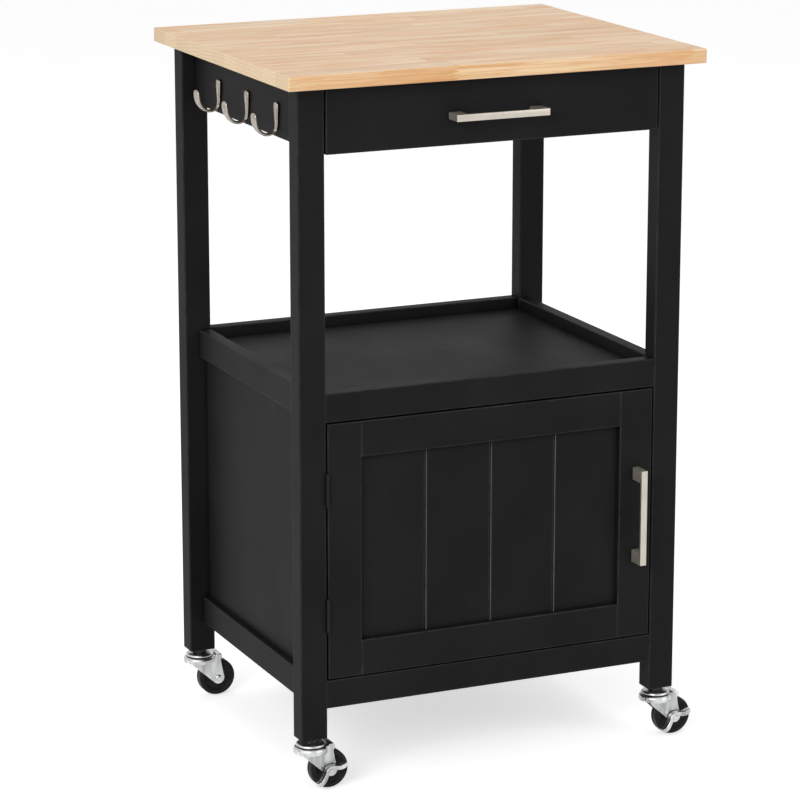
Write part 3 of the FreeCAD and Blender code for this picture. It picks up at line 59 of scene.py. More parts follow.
# Finger joints on the long edges: half their pitch, their slope, and how far rows are shifted
FINGER_HALF_PITCH, FINGER_SLOPE, ROW_SHIFT = 0.0022, 4.6, 1.7
SHARP_ANGLE = math.radians(32)
# Turns that lay the axis of a turned shape along -Y and along +Y
QUARTER_TURN = Matrix.Rotation(math.radians(90), 4, "X")
AXLE_TURN = Matrix.Rotation(math.radians(-90), 4, "X")

# Boards by the way their grain runs
GRAIN_X = ("apron_rear", "top_stretcher", "shelf_rail_front", "shelf_rail_rear", "shelf_panel",
           "bottom_rail_front", "bottom_rail_rear", "floor_panel", "door_rail_top",
           "door_rail_bottom", "drawer_front")
GRAIN_Y = ("apron_left", "apron_right", "shelf_rail_left", "shelf_rail_right", "bottom_rail_left",
           "bottom_rail_right")
GRAIN_Z = ("leg_front_left", "leg_front_right", "leg_rear_left", "leg_rear_right",
           "side_panel_left", "side_panel_right", "back_panel", "door_stile_left",
           "door_stile_right")
BARE_X = ("drawer_back", "drawer_bottom")
BARE_Y = ("drawer_side_left", "drawer_side_right", "cabinet_runner_left", "cabinet_runner_right",
          "dowels")
CASTERS = ("front_left", "front_right", "rear_left", "rear_right")


# Settings

class CART_PG_worktop(PropertyGroup):
    """Colours and sizes of the worktop's staves"""
    pale: FloatVectorProperty(
        name="Pale grain", description="Lightest wood between the streaks", subtype="COLOR",
        size=3, min=0, max=1, default=(0.800, 0.635, 0.460))
    warm: FloatVectorProperty(
        name="Warm grain", description="Wood of the middle tone", subtype="COLOR",
        size=3, min=0, max=1, default=(0.755, 0.515, 0.330))
    streak: FloatVectorProperty(
        name="Streaks", description="Pinkish brown streaks along the staves", subtype="COLOR",
        size=3, min=0, max=1, default=(0.690, 0.395, 0.225))
    edge: FloatVectorProperty(
        name="Long edges", description="Tint of the front and rear edges", subtype="COLOR",
        size=3, min=0, max=2, default=(1.34, 1.28, 1.14))
    stave_width: FloatProperty(
        name="Stave width", description="Width of one glued stave", unit="LENGTH",
        min=0.01, max=0.2, default=0.0415)
    stave_length: FloatProperty(
        name="Stave length", description="Distance between finger joints", unit="LENGTH",
        min=0.05, max=1.0, default=0.32)


class CART_PG_paint(PropertyGroup):
    """Colour and gloss of the painted wood"""
    colour: FloatVectorProperty(
        name="Paint", description="Colour of the satin paint", subtype="COLOR",
        size=3, min=0, max=1, default=(0.0110, 0.0110, 0.0112))
    # Colour that lightens the paint's edges as a painted highlight, and its raised grain
    lightening: FloatVectorProperty(
        name="Rubbed edges", description="Colour of rubbed edges and of the raised grain", subtype="COLOR",
        size=3, min=0, max=1, default=(0.085, 0.085, 0.085))
    roughness: FloatProperty(
        name="Roughness", description="Gloss of the paint, from mirror to chalk",
        min=0, max=1, default=0.54)


class CART_PG_metal(PropertyGroup):
    """Colours of the metal pieces and wheels"""
    nickel: FloatVectorProperty(
        name="Satin nickel", description="Pulls and hooks", subtype="COLOR",
        size=3, min=0, max=1, default=(0.560, 0.510, 0.445))
    zinc: FloatVectorProperty(
        name="Bright zinc", description="Caster forks, rivets, races, levers and screws", subtype="COLOR",
        size=3, min=0, max=1, default=(0.500, 0.505, 0.510))
    wheel: FloatVectorProperty(
        name="Wheels", description="Moulded wheels", subtype="COLOR",
        size=3, min=0, max=1, default=(0.007, 0.007, 0.0073))
    lever_width: FloatProperty(
        name="Brake pedal width", description="Width of the brake lever's strip", unit="LENGTH",
        min=0.004, max=0.02, default=0.010)


class CART_PG_studio(PropertyGroup):
    """Camera and light of the studio"""
    lens: FloatProperty(
        name="Lens", description="Focal length on a 36 mm sensor, in millimetres",
        min=20, max=400, default=153.0)
    key_power: FloatProperty(
        name="Key light", description="Power of the large light on the left", unit="POWER",
        min=0, max=5000, default=105.0)
    fill_power: FloatProperty(
        name="Fill light", description="Power of the lights from the right and from above", unit="POWER",
        min=0, max=5000, default=24.0)


# Node helpers

def new_material(name):
    """An empty node material with its shader and output."""
    mat = bpy.data.materials.new(name)
    mat.use_nodes = True
    tree = mat.node_tree
    tree.nodes.clear()
    out = tree.nodes.new("ShaderNodeOutputMaterial")
    shader = tree.nodes.new("ShaderNodeBsdfPrincipled")
    tree.links.new(shader.outputs["BSDF"], out.inputs["Surface"])
    return mat, tree, shader


def feed(tree, socket, value):
    """Put a value, or the output of another node, into a socket."""
    if isinstance(value, bpy.types.NodeSocket):
        tree.links.new(value, socket)
    elif value is not None:
        socket.default_value = value


def maths(tree, operation, a, b=None, c=None, clamp=False):
    made = tree.nodes.new("ShaderNodeMath")
    made.operation = operation
    made.use_clamp = clamp
    for socket, value in zip(made.inputs, (a, b, c)):
        feed(tree, socket, value)
    return made.outputs[0]


def times(tree, a, b):
    return maths(tree, "MULTIPLY", a, b)


def plus(tree, a, b):
    return maths(tree, "ADD", a, b)


def off_middle(tree, value):
    """How far a value lies from the middle between two whole numbers, up to 0.5."""
    return maths(tree, "ABSOLUTE", plus(tree, maths(tree, "FRACT", value), -0.5))


def mapped(tree, value, low, high, to_low=0.0, to_high=1.0):
    """A value between low and high as a share, or between two other numbers."""
    made = tree.nodes.new("ShaderNodeMapRange")
    for name, number in (("Value", value), ("From Min", low), ("From Max", high),
                         ("To Min", to_low), ("To Max", to_high)):
        feed(tree, made.inputs[name], number)
    return made.outputs["Result"]


def blended(tree, factor, a, b, mode="MIX"):
    """Colour a to colour b by a factor."""
    made = tree.nodes.new("ShaderNodeMix")
    made.data_type = "RGBA"
    made.blend_type = mode
    feed(tree, made.inputs["Factor"], factor)
    for socket, value in ((made.inputs[6], a), (made.inputs[7], b)):
        feed(tree, socket, (*value, 1.0) if isinstance(value, tuple) and len(value) == 3 else value)
    return made.outputs[2]


def scaled(colour, factor):
    """A colour times a number, no brighter than white."""
    return tuple(min(1.0, channel * factor) for channel in colour)


def shaded(tree, colour, shade):
    """A colour times a grey value that varies over the surface."""
    return blended(tree, 1.0, colour, combined(tree, shade, shade, shade), "MULTIPLY")


def noise(tree, vector, scale, detail=4.0, roughness=0.55, distortion=0.0):
    made = tree.nodes.new("ShaderNodeTexNoise")
    for name, value in (("Vector", vector), ("Scale", scale), ("Detail", detail),
                        ("Roughness", roughness), ("Distortion", distortion)):
        feed(tree, made.inputs[name], value)
    return made.outputs["Fac"]


def stretched(tree, vector, scales, detail=4.0, roughness=0.55, distortion=0.0):
    """Noise with a scale of its own along x, y and z, as grain has."""
    return noise(tree, added(tree, vector, scales, "MULTIPLY"), 1.0, detail, roughness, distortion)


def scales_along(axis, across, along):
    """Noise scales for grain that runs along one axis, or along none."""
    return tuple(along if number == axis else across for number in range(3))


def random_of(tree, x, y=0.0, z=0.0):
    """A steady random value and colour for a whole-numbered place."""
    joined = combined(tree, x, y, z)
    made = tree.nodes.new("ShaderNodeTexWhiteNoise")
    made.noise_dimensions = "3D"
    tree.links.new(joined, made.inputs["Vector"])
    return made.outputs["Value"], made.outputs["Color"]


def combined(tree, x, y, z):
    made = tree.nodes.new("ShaderNodeCombineXYZ")
    for socket, value in zip(made.inputs, (x, y, z)):
        feed(tree, socket, value)
    return made.outputs["Vector"]


def place_of(tree):
    """The point on the piece, in metres, whole and as x, y and z."""
    coords = tree.nodes.new("ShaderNodeTexCoord")
    split = tree.nodes.new("ShaderNodeSeparateXYZ")
    tree.links.new(coords.outputs["Object"], split.inputs[0])
    return coords.outputs["Object"], split.outputs


def facing_of(tree):
    """How squarely the surface faces x, y and z, from 0 to 1."""
    geometry = tree.nodes.new("ShaderNodeNewGeometry")
    split = tree.nodes.new("ShaderNodeSeparateXYZ")
    tree.links.new(geometry.outputs["Normal"], split.inputs[0])
    return [maths(tree, "ABSOLUTE", out) for out in split.outputs]


def added(tree, a, b, operation="ADD"):
    """Two vectors added, or multiplied part by part."""
    made = tree.nodes.new("ShaderNodeVectorMath")
    made.operation = operation
    feed(tree, made.inputs[0], a)
    feed(tree, made.inputs[1], b)
    return made.outputs["Vector"]


def rise(tree, shader, height, strength, distance, under=None):
    """A bump from a height, on top of another one if that is given."""
    made = tree.nodes.new("ShaderNodeBump")
    made.inputs["Strength"].default_value = strength
    made.inputs["Distance"].default_value = distance
    tree.links.new(height, made.inputs["Height"])
    if under is not None:
        tree.links.new(under, made.inputs["Normal"])
    tree.links.new(made.outputs["Normal"], shader.inputs["Normal"])
    return made.outputs["Normal"]


def sharp_edge_mask(tree, radius):
    """A mask that is 1 along sharp edges, from the difference that a small rounding makes."""
    softened = tree.nodes.new("ShaderNodeBevel")
    softened.samples = 6
    softened.inputs["Radius"].default_value = radius
    geometry = tree.nodes.new("ShaderNodeNewGeometry")
    dot = tree.nodes.new("ShaderNodeVectorMath")
    dot.operation = "DOT_PRODUCT"
    tree.links.new(softened.outputs["Normal"], dot.inputs[0])
    tree.links.new(geometry.outputs["Normal"], dot.inputs[1])
    return mapped(tree, dot.outputs["Value"], 0.995, 0.86), softened.outputs["Normal"]


def painted_corner_shade(tree, colour, reach, low, high, darkest):
    """The colour, darkened as painted shade where another surface stands closer than the reach."""
    corner = tree.nodes.new("ShaderNodeAmbientOcclusion")
    corner.samples = 5
    corner.inputs["Distance"].default_value = reach
    return shaded(tree, colour, mapped(tree, corner.outputs["AO"], low, high, darkest, 1.0))


def seen_directly(tree):
    """1 for the rays that show a background: camera, glossy and transmission rays."""
    rays = tree.nodes.new("ShaderNodeLightPath")
    through = maths(tree, "MAXIMUM", rays.outputs["Is Glossy Ray"], rays.outputs["Is Transmission Ray"])
    return maths(tree, "MAXIMUM", rays.outputs["Is Camera Ray"], through)


# Finishes

def rubberwood_staves(settings):
    """Glued staves with streaks, pores, glue lines and finger joints; end grain at the short edges."""
    mat, tree, shader = new_material("rubberwood_staves")
    point, (x, y, z) = place_of(tree)
    facing = facing_of(tree)
    end = mapped(tree, facing[0], 0.6, 0.8)
    long_edge = mapped(tree, facing[1], 0.6, 0.8)
    # the stave that a point lies in, and the length of wood within it
    along_y = maths(tree, "DIVIDE", plus(tree, y, FRONT_EDGE), settings.stave_width)
    row = maths(tree, "FLOOR", along_y)
    row_shift, ignored = random_of(tree, row, 3.0)
    zigzag = maths(tree, "PINGPONG", z, FINGER_HALF_PITCH)
    fingers = times(tree, times(tree, zigzag, FINGER_SLOPE), long_edge)
    shifted = plus(tree, plus(tree, x, fingers), times(tree, row_shift, ROW_SHIFT))
    along_x = maths(tree, "DIVIDE", shifted, settings.stave_length)
    tone, shift = random_of(tree, row, maths(tree, "FLOOR", along_x), 7.0)
    # each length shows another place of the grain
    moved = added(tree, point, added(tree, shift, (3.1, 2.3, 1.7), "MULTIPLY"))
    broad = stretched(tree, moved, (5.0, 52.0, 52.0), 5.0, 0.6, 0.5)
    streaks = stretched(tree, moved, (9.0, 118.0, 118.0), 6.0, 0.68, 0.6)
    flames = stretched(tree, moved, (7.0, 330.0, 330.0), 5.0, 0.66, 0.35)
    fibres = stretched(tree, moved, (60.0, 2100.0, 2100.0), 3.0, 0.6)
    pores = mapped(tree, stretched(tree, moved, (210.0, 2600.0, 2600.0), 2.0, 0.5), 0.64, 0.74)
    colour = blended(tree, mapped(tree, broad, 0.40, 0.58), settings.pale[:], settings.warm[:])
    strong = mapped(tree, broad, 0.40, 0.58, 0.10, 0.85)
    strong = times(tree, mapped(tree, streaks, 0.47, 0.62), strong)
    colour = blended(tree, strong, colour, settings.streak[:])
    light = blended(tree, tone, (0.955, 0.94, 0.925), (1.055, 1.055, 1.045))
    colour = blended(tree, 1.0, colour, light, "MULTIPLY")
    colour = shaded(tree, colour, mapped(tree, fibres, 0.3, 0.7, 0.95, 1.04))
    colour = blended(tree, times(tree, pores, 0.22), colour, (0.34, 0.2, 0.11))
    # glue lines and the joints at the lengths' ends
    line = maths(tree, "MAXIMUM", mapped(tree, off_middle(tree, along_y), 0.493, 0.4985),
                 mapped(tree, off_middle(tree, along_x), 0.4985, 0.4997))
    colour = blended(tree, times(tree, line, 0.3), colour, (0.4, 0.24, 0.13))
    # long edges carry golden flames, short edges show end grain with arcs of growth and pores
    tinted = blended(tree, 1.0, colour, settings.edge[:], "MULTIPLY")
    golden = times(tree, mapped(tree, flames, 0.43, 0.60), mapped(tree, x, -0.28, 0.2, 0.9, 0.62))
    tinted = blended(tree, golden, tinted, (0.72, 0.36, 0.13))
    colour = blended(tree, long_edge, colour, tinted)
    wander = added(tree, added(tree, shift, (0.05, 0.05, 0.09), "MULTIPLY"), point)
    rings = tree.nodes.new("ShaderNodeTexWave")
    rings.wave_type = "RINGS"
    rings.rings_direction = "X"
    for name, value in (("Vector", wander), ("Scale", 70.0), ("Distortion", 2.2), ("Detail", 2.0),
                        ("Detail Scale", 1.4)):
        feed(tree, rings.inputs[name], value)
    speckle = mapped(tree, noise(tree, point, 1500.0, 3.0, 0.6), 0.52, 0.7, 0.0, 0.4)
    end_colour = blended(tree, rings.outputs["Fac"], (0.86, 0.69, 0.49), (0.80, 0.60, 0.39))
    end_colour = blended(tree, speckle, end_colour, (0.55, 0.38, 0.22))
    end_colour = blended(tree, 1.0, end_colour, light, "MULTIPLY")
    colour = blended(tree, end, colour, end_colour)
    tree.links.new(colour, shader.inputs["Base Color"])
    gloss = mapped(tree, streaks, 0.3, 0.7, 0.46, 0.56)
    tree.links.new(plus(tree, gloss, times(tree, end, 0.12)), shader.inputs["Roughness"])
    shader.inputs["Specular IOR Level"].default_value = 0.16
    relief = maths(tree, "SUBTRACT", times(tree, fibres, 0.5), plus(tree, pores, line))
    rise(tree, shader, relief, 0.22, 0.00012)
    return mat


def satin_paint(settings, axis, name=None):
    """Black satin paint on wood: faint grain, roller texture, edges lightened as a painted highlight and
    corners darkened as painted shade.
    """
    mat, tree, shader = new_material(name or "satin_black_" + "xyz"[axis])
    point, ignored = place_of(tree)
    grain = stretched(tree, point, scales_along(axis, 420.0, 11.0), 5.0, 0.62, 0.3)
    peel = noise(tree, point, 900.0, 2.0, 0.5)
    cloud = noise(tree, point, 9.0, 3.0, 0.5)
    edge, softened = sharp_edge_mask(tree, 0.0026)
    # Painted highlight: the edges lightened in patches, as where light catches the arrises
    lightening = times(tree, edge, mapped(tree, noise(tree, point, 60.0), 0.35, 0.7, 0.35, 1.0))
    colour = blended(tree, mapped(tree, cloud, 0.3, 0.7), scaled(settings.colour, 0.8),
                     scaled(settings.colour, 1.25))
    colour = blended(tree, mapped(tree, grain, 0.45, 0.75, 0.0, 0.03), colour, settings.lightening[:])
    colour = blended(tree, lightening, colour, settings.lightening[:])
    # Painted shade: darker where another surface stands within 10 mm, in recesses and corners
    colour = painted_corner_shade(tree, colour, 0.010, 0.25, 0.85, 0.25)
    tree.links.new(colour, shader.inputs["Base Color"])
    low = settings.roughness
    gloss = mapped(tree, cloud, 0.3, 0.7, low - 0.05, low + 0.05)
    tree.links.new(plus(tree, gloss, mapped(tree, grain, 0.3, 0.7, -0.03, 0.05)),
                   shader.inputs["Roughness"])
    shader.inputs["Specular IOR Level"].default_value = 0.06
    height = plus(tree, times(tree, grain, 0.7), times(tree, peel, 0.3))
    rise(tree, shader, height, 0.03, 0.0002, softened)
    return mat


def grooved_paint(settings):
    """The door panel's paint, with a painted highlight in light grey on the left-facing walls of its plank
    grooves.
    """
    mat = satin_paint(settings, 2, "satin_black_grooved")
    tree = mat.node_tree
    shader = next(node for node in tree.nodes if node.type == "BSDF_PRINCIPLED")
    painted = shader.inputs["Base Color"].links[0].from_socket
    geometry = tree.nodes.new("ShaderNodeNewGeometry")
    split = tree.nodes.new("ShaderNodeSeparateXYZ")
    tree.links.new(geometry.outputs["True Normal"], split.inputs[0])
    point, ignored = place_of(tree)
    patchy = mapped(tree, noise(tree, point, 22.0), 0.3, 0.7, 0.55, 1.0)
    # Painted highlight: the walls that face -X, towards the key light, lightened in patches
    lit_wall_highlight = times(tree, mapped(tree, split.outputs[0], -0.5, -0.8), patchy)
    colour = blended(tree, lit_wall_highlight, painted, (0.26, 0.26, 0.26))
    tree.links.new(colour, shader.inputs["Base Color"])
    return mat


def bare_wood(axis):
    """Pale planed wood of the drawer box, the runners and the dowels."""
    mat, tree, shader = new_material("planed_wood_" + "xyz"[axis])
    point, ignored = place_of(tree)
    grain = stretched(tree, point, scales_along(axis, 70.0, 3.0), 6.0, 0.62, 0.8)
    fibres = stretched(tree, point, scales_along(axis, 1500.0, 55.0), 3.0)
    colour = blended(tree, mapped(tree, grain, 0.35, 0.68), (0.70, 0.54, 0.36), (0.50, 0.34, 0.19))
    colour = shaded(tree, colour, mapped(tree, fibres, 0.3, 0.7, 0.92, 1.05))
    tree.links.new(colour, shader.inputs["Base Color"])
    tree.links.new(mapped(tree, fibres, 0.3, 0.7, 0.5, 0.64), shader.inputs["Roughness"])
    rise(tree, shader, fibres, 0.25, 0.0002)
    return mat


def brushed_metal(name, colour, roughness, axis, streak, mottle, dark=0.72, metallic=1.0):
    """Metal with fine lines along one axis, or none, and a mottle down to a share of its colour."""
    mat, tree, shader = new_material(name)
    point, ignored = place_of(tree)
    lines = stretched(tree, point, scales_along(axis, 2400.0, 60.0), 3.0, 0.6)
    cloud = noise(tree, point, mottle, 4.0, 0.6)
    tint = blended(tree, mapped(tree, cloud, 0.28, 0.66), scaled(colour, dark), tuple(colour))
    edge, softened = sharp_edge_mask(tree, 0.0005)
    tint = blended(tree, times(tree, edge, 0.35), tint, scaled(colour, 1.25))
    tree.links.new(tint, shader.inputs["Base Color"])
    shader.inputs["Metallic"].default_value = metallic
    gloss = mapped(tree, cloud, 0.3, 0.7, roughness - 0.05, roughness + 0.06)
    tree.links.new(plus(tree, gloss, mapped(tree, lines, 0.3, 0.7, -0.04, 0.05)),
                   shader.inputs["Roughness"])
    rise(tree, shader, lines, streak, 0.00006, softened)
    return mat


def satin_nickel(settings, axis):
    """Brushed nickel of a pull that runs along an axis."""
    return brushed_metal("satin_nickel_" + "xyz"[axis], settings.nickel, roughness=0.34, axis=axis,
                         streak=0.3, mottle=55.0, dark=0.9, metallic=0.72)


def antique_nickel(settings):
    """Darker cast nickel of the hooks, with a finer and stronger mottle."""
    return brushed_metal("antique_nickel", scaled(settings.nickel, 0.82), roughness=0.3, axis=None,
                         streak=0.2, mottle=190.0, dark=0.55)


def pressed_zinc(settings):
    """Bright zinc plate on pressed steel: soft upright stripes of painted reflection, a faint bloom, rims
    lightened as a painted highlight and corners darkened as painted shade.
    """
    mat, tree, shader = new_material("bright_zinc")
    point, ignored = place_of(tree)
    painted_reflection_bands = stretched(tree, point, scales_along(2, 85.0, 16.0), 2.0, 0.5, 0.4)
    bloom = noise(tree, point, 620.0, 4.0, 0.6)
    lines = stretched(tree, point, scales_along(2, 2600.0, 240.0), 2.0, 0.5)
    # Painted reflection: soft upright light and dark stripes in the colour; the same noise also varies the
    # roughness
    tint = blended(tree, mapped(tree, painted_reflection_bands, 0.30, 0.68), scaled(settings.zinc, 0.62),
                   scaled(settings.zinc, 1.4))
    tint = blended(tree, mapped(tree, bloom, 0.5, 0.8, 0.0, 0.3), tint, settings.zinc[:])
    edge, softened = sharp_edge_mask(tree, 0.0006)
    # Painted highlight: the rims lightened towards white
    tint = blended(tree, times(tree, edge, 0.6), tint, (0.9, 0.9, 0.9))
    # Painted shade in the corners
    tint = painted_corner_shade(tree, tint, 0.006, 0.15, 0.8, 0.2)
    tree.links.new(tint, shader.inputs["Base Color"])
    shader.inputs["Metallic"].default_value = 1.0
    tree.links.new(mapped(tree, painted_reflection_bands, 0.3, 0.7, 0.24, 0.36), shader.inputs["Roughness"])
    rise(tree, shader, lines, 0.15, 0.00005, softened)
    return mat


def moulded_wheel(settings):
    """Black moulded wheel: fine pitting, a faint bloom of dust, lighter edges."""
    mat, tree, shader = new_material("moulded_wheel")
    point, ignored = place_of(tree)
    pits = noise(tree, point, 1300.0, 3.0, 0.55)
    cloud = noise(tree, point, 85.0, 4.0, 0.6)
    edge, softened = sharp_edge_mask(tree, 0.0007)
    colour = blended(tree, mapped(tree, cloud, 0.42, 0.72), settings.wheel[:], (0.014, 0.0135, 0.013))
    colour = blended(tree, times(tree, edge, 0.6), colour, (0.05, 0.05, 0.05))
    tree.links.new(colour, shader.inputs["Base Color"])
    tree.links.new(mapped(tree, cloud, 0.3, 0.7, 0.4, 0.52), shader.inputs["Roughness"])
    shader.inputs["Specular IOR Level"].default_value = 0.14
    rise(tree, shader, pits, 0.12, 0.0002, softened)
    return mat


def dark_coat(name, grey, roughness, gloss=0.4):
    """Dark coated steel or moulded plastic with a fine grain."""
    mat, tree, shader = new_material(name)
    point, ignored = place_of(tree)
    grain = noise(tree, point, 1700.0, 2.0, 0.5)
    cloud = noise(tree, point, 140.0, 3.0, 0.55)
    tint = blended(tree, mapped(tree, cloud, 0.35, 0.7), (grey,) * 3, scaled((grey,) * 3, 1.9))
    tree.links.new(tint, shader.inputs["Base Color"])
    shader.inputs["Specular IOR Level"].default_value = gloss
    tree.links.new(mapped(tree, cloud, 0.3, 0.7, roughness - 0.06, roughness + 0.08),
                   shader.inputs["Roughness"])
    rise(tree, shader, grain, 0.2, 0.0002)
    return mat


def finish_of(name):
    """A finish by its name, made the first time it is asked for."""
    if name in bpy.data.materials:
        return bpy.data.materials[name]
    scene = bpy.context.scene
    metal = scene.cart_metal
    makers = {
        "rubberwood_staves": lambda: rubberwood_staves(scene.cart_worktop),
        "satin_black_x": lambda: satin_paint(scene.cart_paint, 0),
        "satin_black_y": lambda: satin_paint(scene.cart_paint, 1),
        "satin_black_z": lambda: satin_paint(scene.cart_paint, 2),
        "satin_black_grooved": lambda: grooved_paint(scene.cart_paint),
        "planed_wood_x": lambda: bare_wood(0),
        "planed_wood_y": lambda: bare_wood(1),
        "satin_nickel_x": lambda: satin_nickel(metal, 0),
        "satin_nickel_z": lambda: satin_nickel(metal, 2),
        "antique_nickel": lambda: antique_nickel(metal),
        "bright_zinc": lambda: pressed_zinc(metal),
        "moulded_wheel": lambda: moulded_wheel(metal),
        "dark_collar": lambda: dark_coat("dark_collar", 0.012, 0.36),
        "black_hinge": lambda: dark_coat("black_hinge", 0.009, 0.5, 0.12),
        "black_plastic": lambda: dark_coat("black_plastic", 0.016, 0.46),
    }
    return makers[name]()


def dress(nodes, finish):
    """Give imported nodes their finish."""
    for node in nodes:
        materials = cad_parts[node].data.materials
        materials.clear()
        materials.append(finish_of(finish))


# Mesh helpers

def piece(name, bm, finish, body, replaces=()):
    """A finished mesh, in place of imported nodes, that rides on a body."""
    mesh = bpy.data.meshes.new(name)
    bmesh.ops.remove_doubles(bm, verts=bm.verts, dist=1e-6)
    bmesh.ops.recalc_face_normals(bm, faces=bm.faces)
    bm.to_mesh(mesh)
    bm.free()
    piece_of(name, mesh, finish, body, replaces)


def piece_of(name, mesh, finish, body, replaces=()):
    """The same from a mesh that is ready."""
    made = bpy.data.objects.new(name, mesh)
    bpy.context.scene.collection.objects.link(made)
    mesh.materials.clear()
    mesh.materials.append(finish_of(finish))
    mesh.shade_smooth()
    mesh.set_sharp_from_angle(angle=SHARP_ANGLE)
    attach(made, body)
    if replaces:
        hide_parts(*replaces)


def bridge(bm, one, two):
    """Faces between two rings of as many points."""
    count = len(one)
    for number in range(count):
        after = (number + 1) % count
        bm.faces.new((one[number], one[after], two[after], two[number]))


def fan(bm, ring, tip):
    """Faces between a ring and a point."""
    count = len(ring)
    for number in range(count):
        bm.faces.new((ring[number], ring[(number + 1) % count], tip))


def lathe(bm, profile, where=Matrix(), segments=64):
    """A closed turned shape about +Z from points of radius and height, in millimetres."""
    rings = []
    for radius, height in profile:
        ring = []
        for number in range(segments if radius else 1):
            angle = 2 * math.pi * number / segments
            spot = Vector((radius * math.cos(angle), radius * math.sin(angle), height)) * MM
            ring.append(bm.verts.new(where @ spot))
        rings.append(ring)
    closed = profile[0][0] > 0 and profile[-1][0] > 0
    for low, high in zip(rings, rings[1:] + (rings[:1] if closed else [])):
        if len(low) == 1:
            fan(bm, high[::-1], low[0])
        elif len(high) == 1:
            fan(bm, low, high[0])
        else:
            bridge(bm, low, high)


def rod(radius, low, high):
    """The profile of a plain round bar."""
    return [(0, low), (radius, low), (radius, high), (0, high)]


def rounded(points, radius, steps=5):
    """An outline with each of its corners rounded; the radius may be one or one per corner."""
    radii = radius if isinstance(radius, (list, tuple)) else [radius] * len(points)
    made = []
    count = len(points)
    for number, corner in enumerate(points):
        here = Vector(corner)
        before = Vector(points[number - 1]) - here
        after = Vector(points[(number + 1) % count]) - here
        reach = min(radii[number], before.length * 0.49, after.length * 0.49)
        if reach == 0:
            made.append(tuple(here))
            continue
        start = here + before.normalized() * reach
        end = here + after.normalized() * reach
        for step in range(steps + 1):
            share = step / steps
            spot = start.lerp(here, share).lerp(here.lerp(end, share), share)
            made.append(tuple(spot))
    return made


def slab(bm, outline, low, high, bevel=0.0, where=Matrix()):
    """A plate in millimetres from an outline in x and z, between two values of y, with soft rims."""
    outline = anticlockwise(outline)
    count = len(outline)
    layers = [(low, 0.0), (high, 0.0)]
    if bevel:
        half = bevel * 0.29
        layers = [(low, bevel), (low + half, half), (low + bevel, 0.0),
                  (high - bevel, 0.0), (high - half, half), (high, bevel)]
    rings = []
    for depth, inset in layers:
        ring = []
        for number, corner in enumerate(outline):
            along = Vector(outline[(number + 1) % count]) - Vector(outline[number - 1])
            spot = Vector(corner) + Vector((-along.y, along.x)).normalized() * inset
            ring.append(bm.verts.new(where @ (Vector((spot.x, depth, spot.y)) * MM)))
        rings.append(ring)
    for one, two in zip(rings, rings[1:]):
        bridge(bm, one, two)
    bm.faces.new(rings[0][::-1])
    bm.faces.new(rings[-1])


def anticlockwise(outline):
    """The outline's points in the order that keeps its inside on the left."""
    after = outline[1:] + outline[:1]
    area = sum(one[0] * two[1] - two[0] * one[1] for one, two in zip(outline, after))
    return outline[::-1] if area < 0 else outline


def smooth_line(points, steps):
    """Points on a smooth line through the given points of any length."""
    made = []
    last = len(points) - 1
    for number in range(last):
        p0 = Vector(points[max(number - 1, 0)])
        p1 = Vector(points[number])
        p2 = Vector(points[number + 1])
        p3 = Vector(points[min(number + 2, last)])
        for step in range(steps):
            t = step / steps
            made.append(0.5 * ((2 * p1) + (p2 - p0) * t + (2 * p0 - 5 * p1 + 4 * p2 - p3) * t * t
                               + (3 * p1 - p0 - 3 * p2 + p3) * t * t * t))
    made.append(Vector(points[last]))
    return made


def temporary_object(name, bm):
    mesh = bpy.data.meshes.new(name)
    bmesh.ops.remove_doubles(bm, verts=bm.verts, dist=1e-7)
    bmesh.ops.recalc_face_normals(bm, faces=bm.faces)
    bm.to_mesh(mesh)
    bm.free()
    made = bpy.data.objects.new(name, mesh)
    bpy.context.scene.collection.objects.link(made)
    return made


def joined_by_boolean(name, base, others):
    """One closed mesh from a base and pairs of an operation and its shape, all given as bmesh."""
    main = temporary_object(name, base)
    used = [main]
    for kind, bm in others:
        step = main.modifiers.new("step", "BOOLEAN")
        step.operation = kind
        step.solver = "EXACT"
        step.object = temporary_object(name + "_tool", bm)
        used.append(step.object)
    bpy.context.view_layer.update()
    graph = bpy.context.evaluated_depsgraph_get()
    mesh = bpy.data.meshes.new_from_object(main.evaluated_get(graph))
    mesh.name = name
    for thing in reversed(used):
        old = thing.data
        bpy.data.objects.remove(thing)
        bpy.data.meshes.remove(old)
    return mesh


# Boards

class CART_OT_worktop(Operator):
    """Finish the worktop in glued rubberwood staves"""
    bl_idname = "cart.worktop"
    bl_label = "Worktop"

    def execute(self, context):
        dress(("worktop",), "rubberwood_staves")
        return {"FINISHED"}


class CART_OT_painted_boards(Operator):
    """Paint the legs, rails, panels, door and drawer front satin black"""
    bl_idname = "cart.painted_boards"
    bl_label = "Painted boards"

    def execute(self, context):
        dress(GRAIN_X, "satin_black_x")
        dress(GRAIN_Y, "satin_black_y")
        dress(GRAIN_Z, "satin_black_z")
        dress(("door_panel",), "satin_black_grooved")
        return {"FINISHED"}


class CART_OT_bare_boards(Operator):
    """Leave the drawer box, the runners and the dowels in planed wood"""
    bl_idname = "cart.bare_boards"
    bl_label = "Drawer box and runners"

    def execute(self, context):
        dress(BARE_X, "planed_wood_x")
        dress(BARE_Y, "planed_wood_y")
        return {"FINISHED"}


# Pulls and hooks

# Length of a post and thickness of the bar, then the outer and inner corners and the rim
PULL_POST, PULL_BAR = 16, 3.5
PULL_CORNER, PULL_INNER_CORNER, PULL_RIM = 0.9, 1.6, 0.45
# Rows that lay an outline along x or z, its second way along +Y and its thickness across the bar
LAID_ALONG = {0: ((1, 0, 0, 0), (0, 0, 1, 0), (0, -1, 0, 0), (0, 0, 0, 1)),
              2: ((0, 1, 0, 0), (0, 0, 1, 0), (1, 0, 0, 0), (0, 0, 0, 1))}


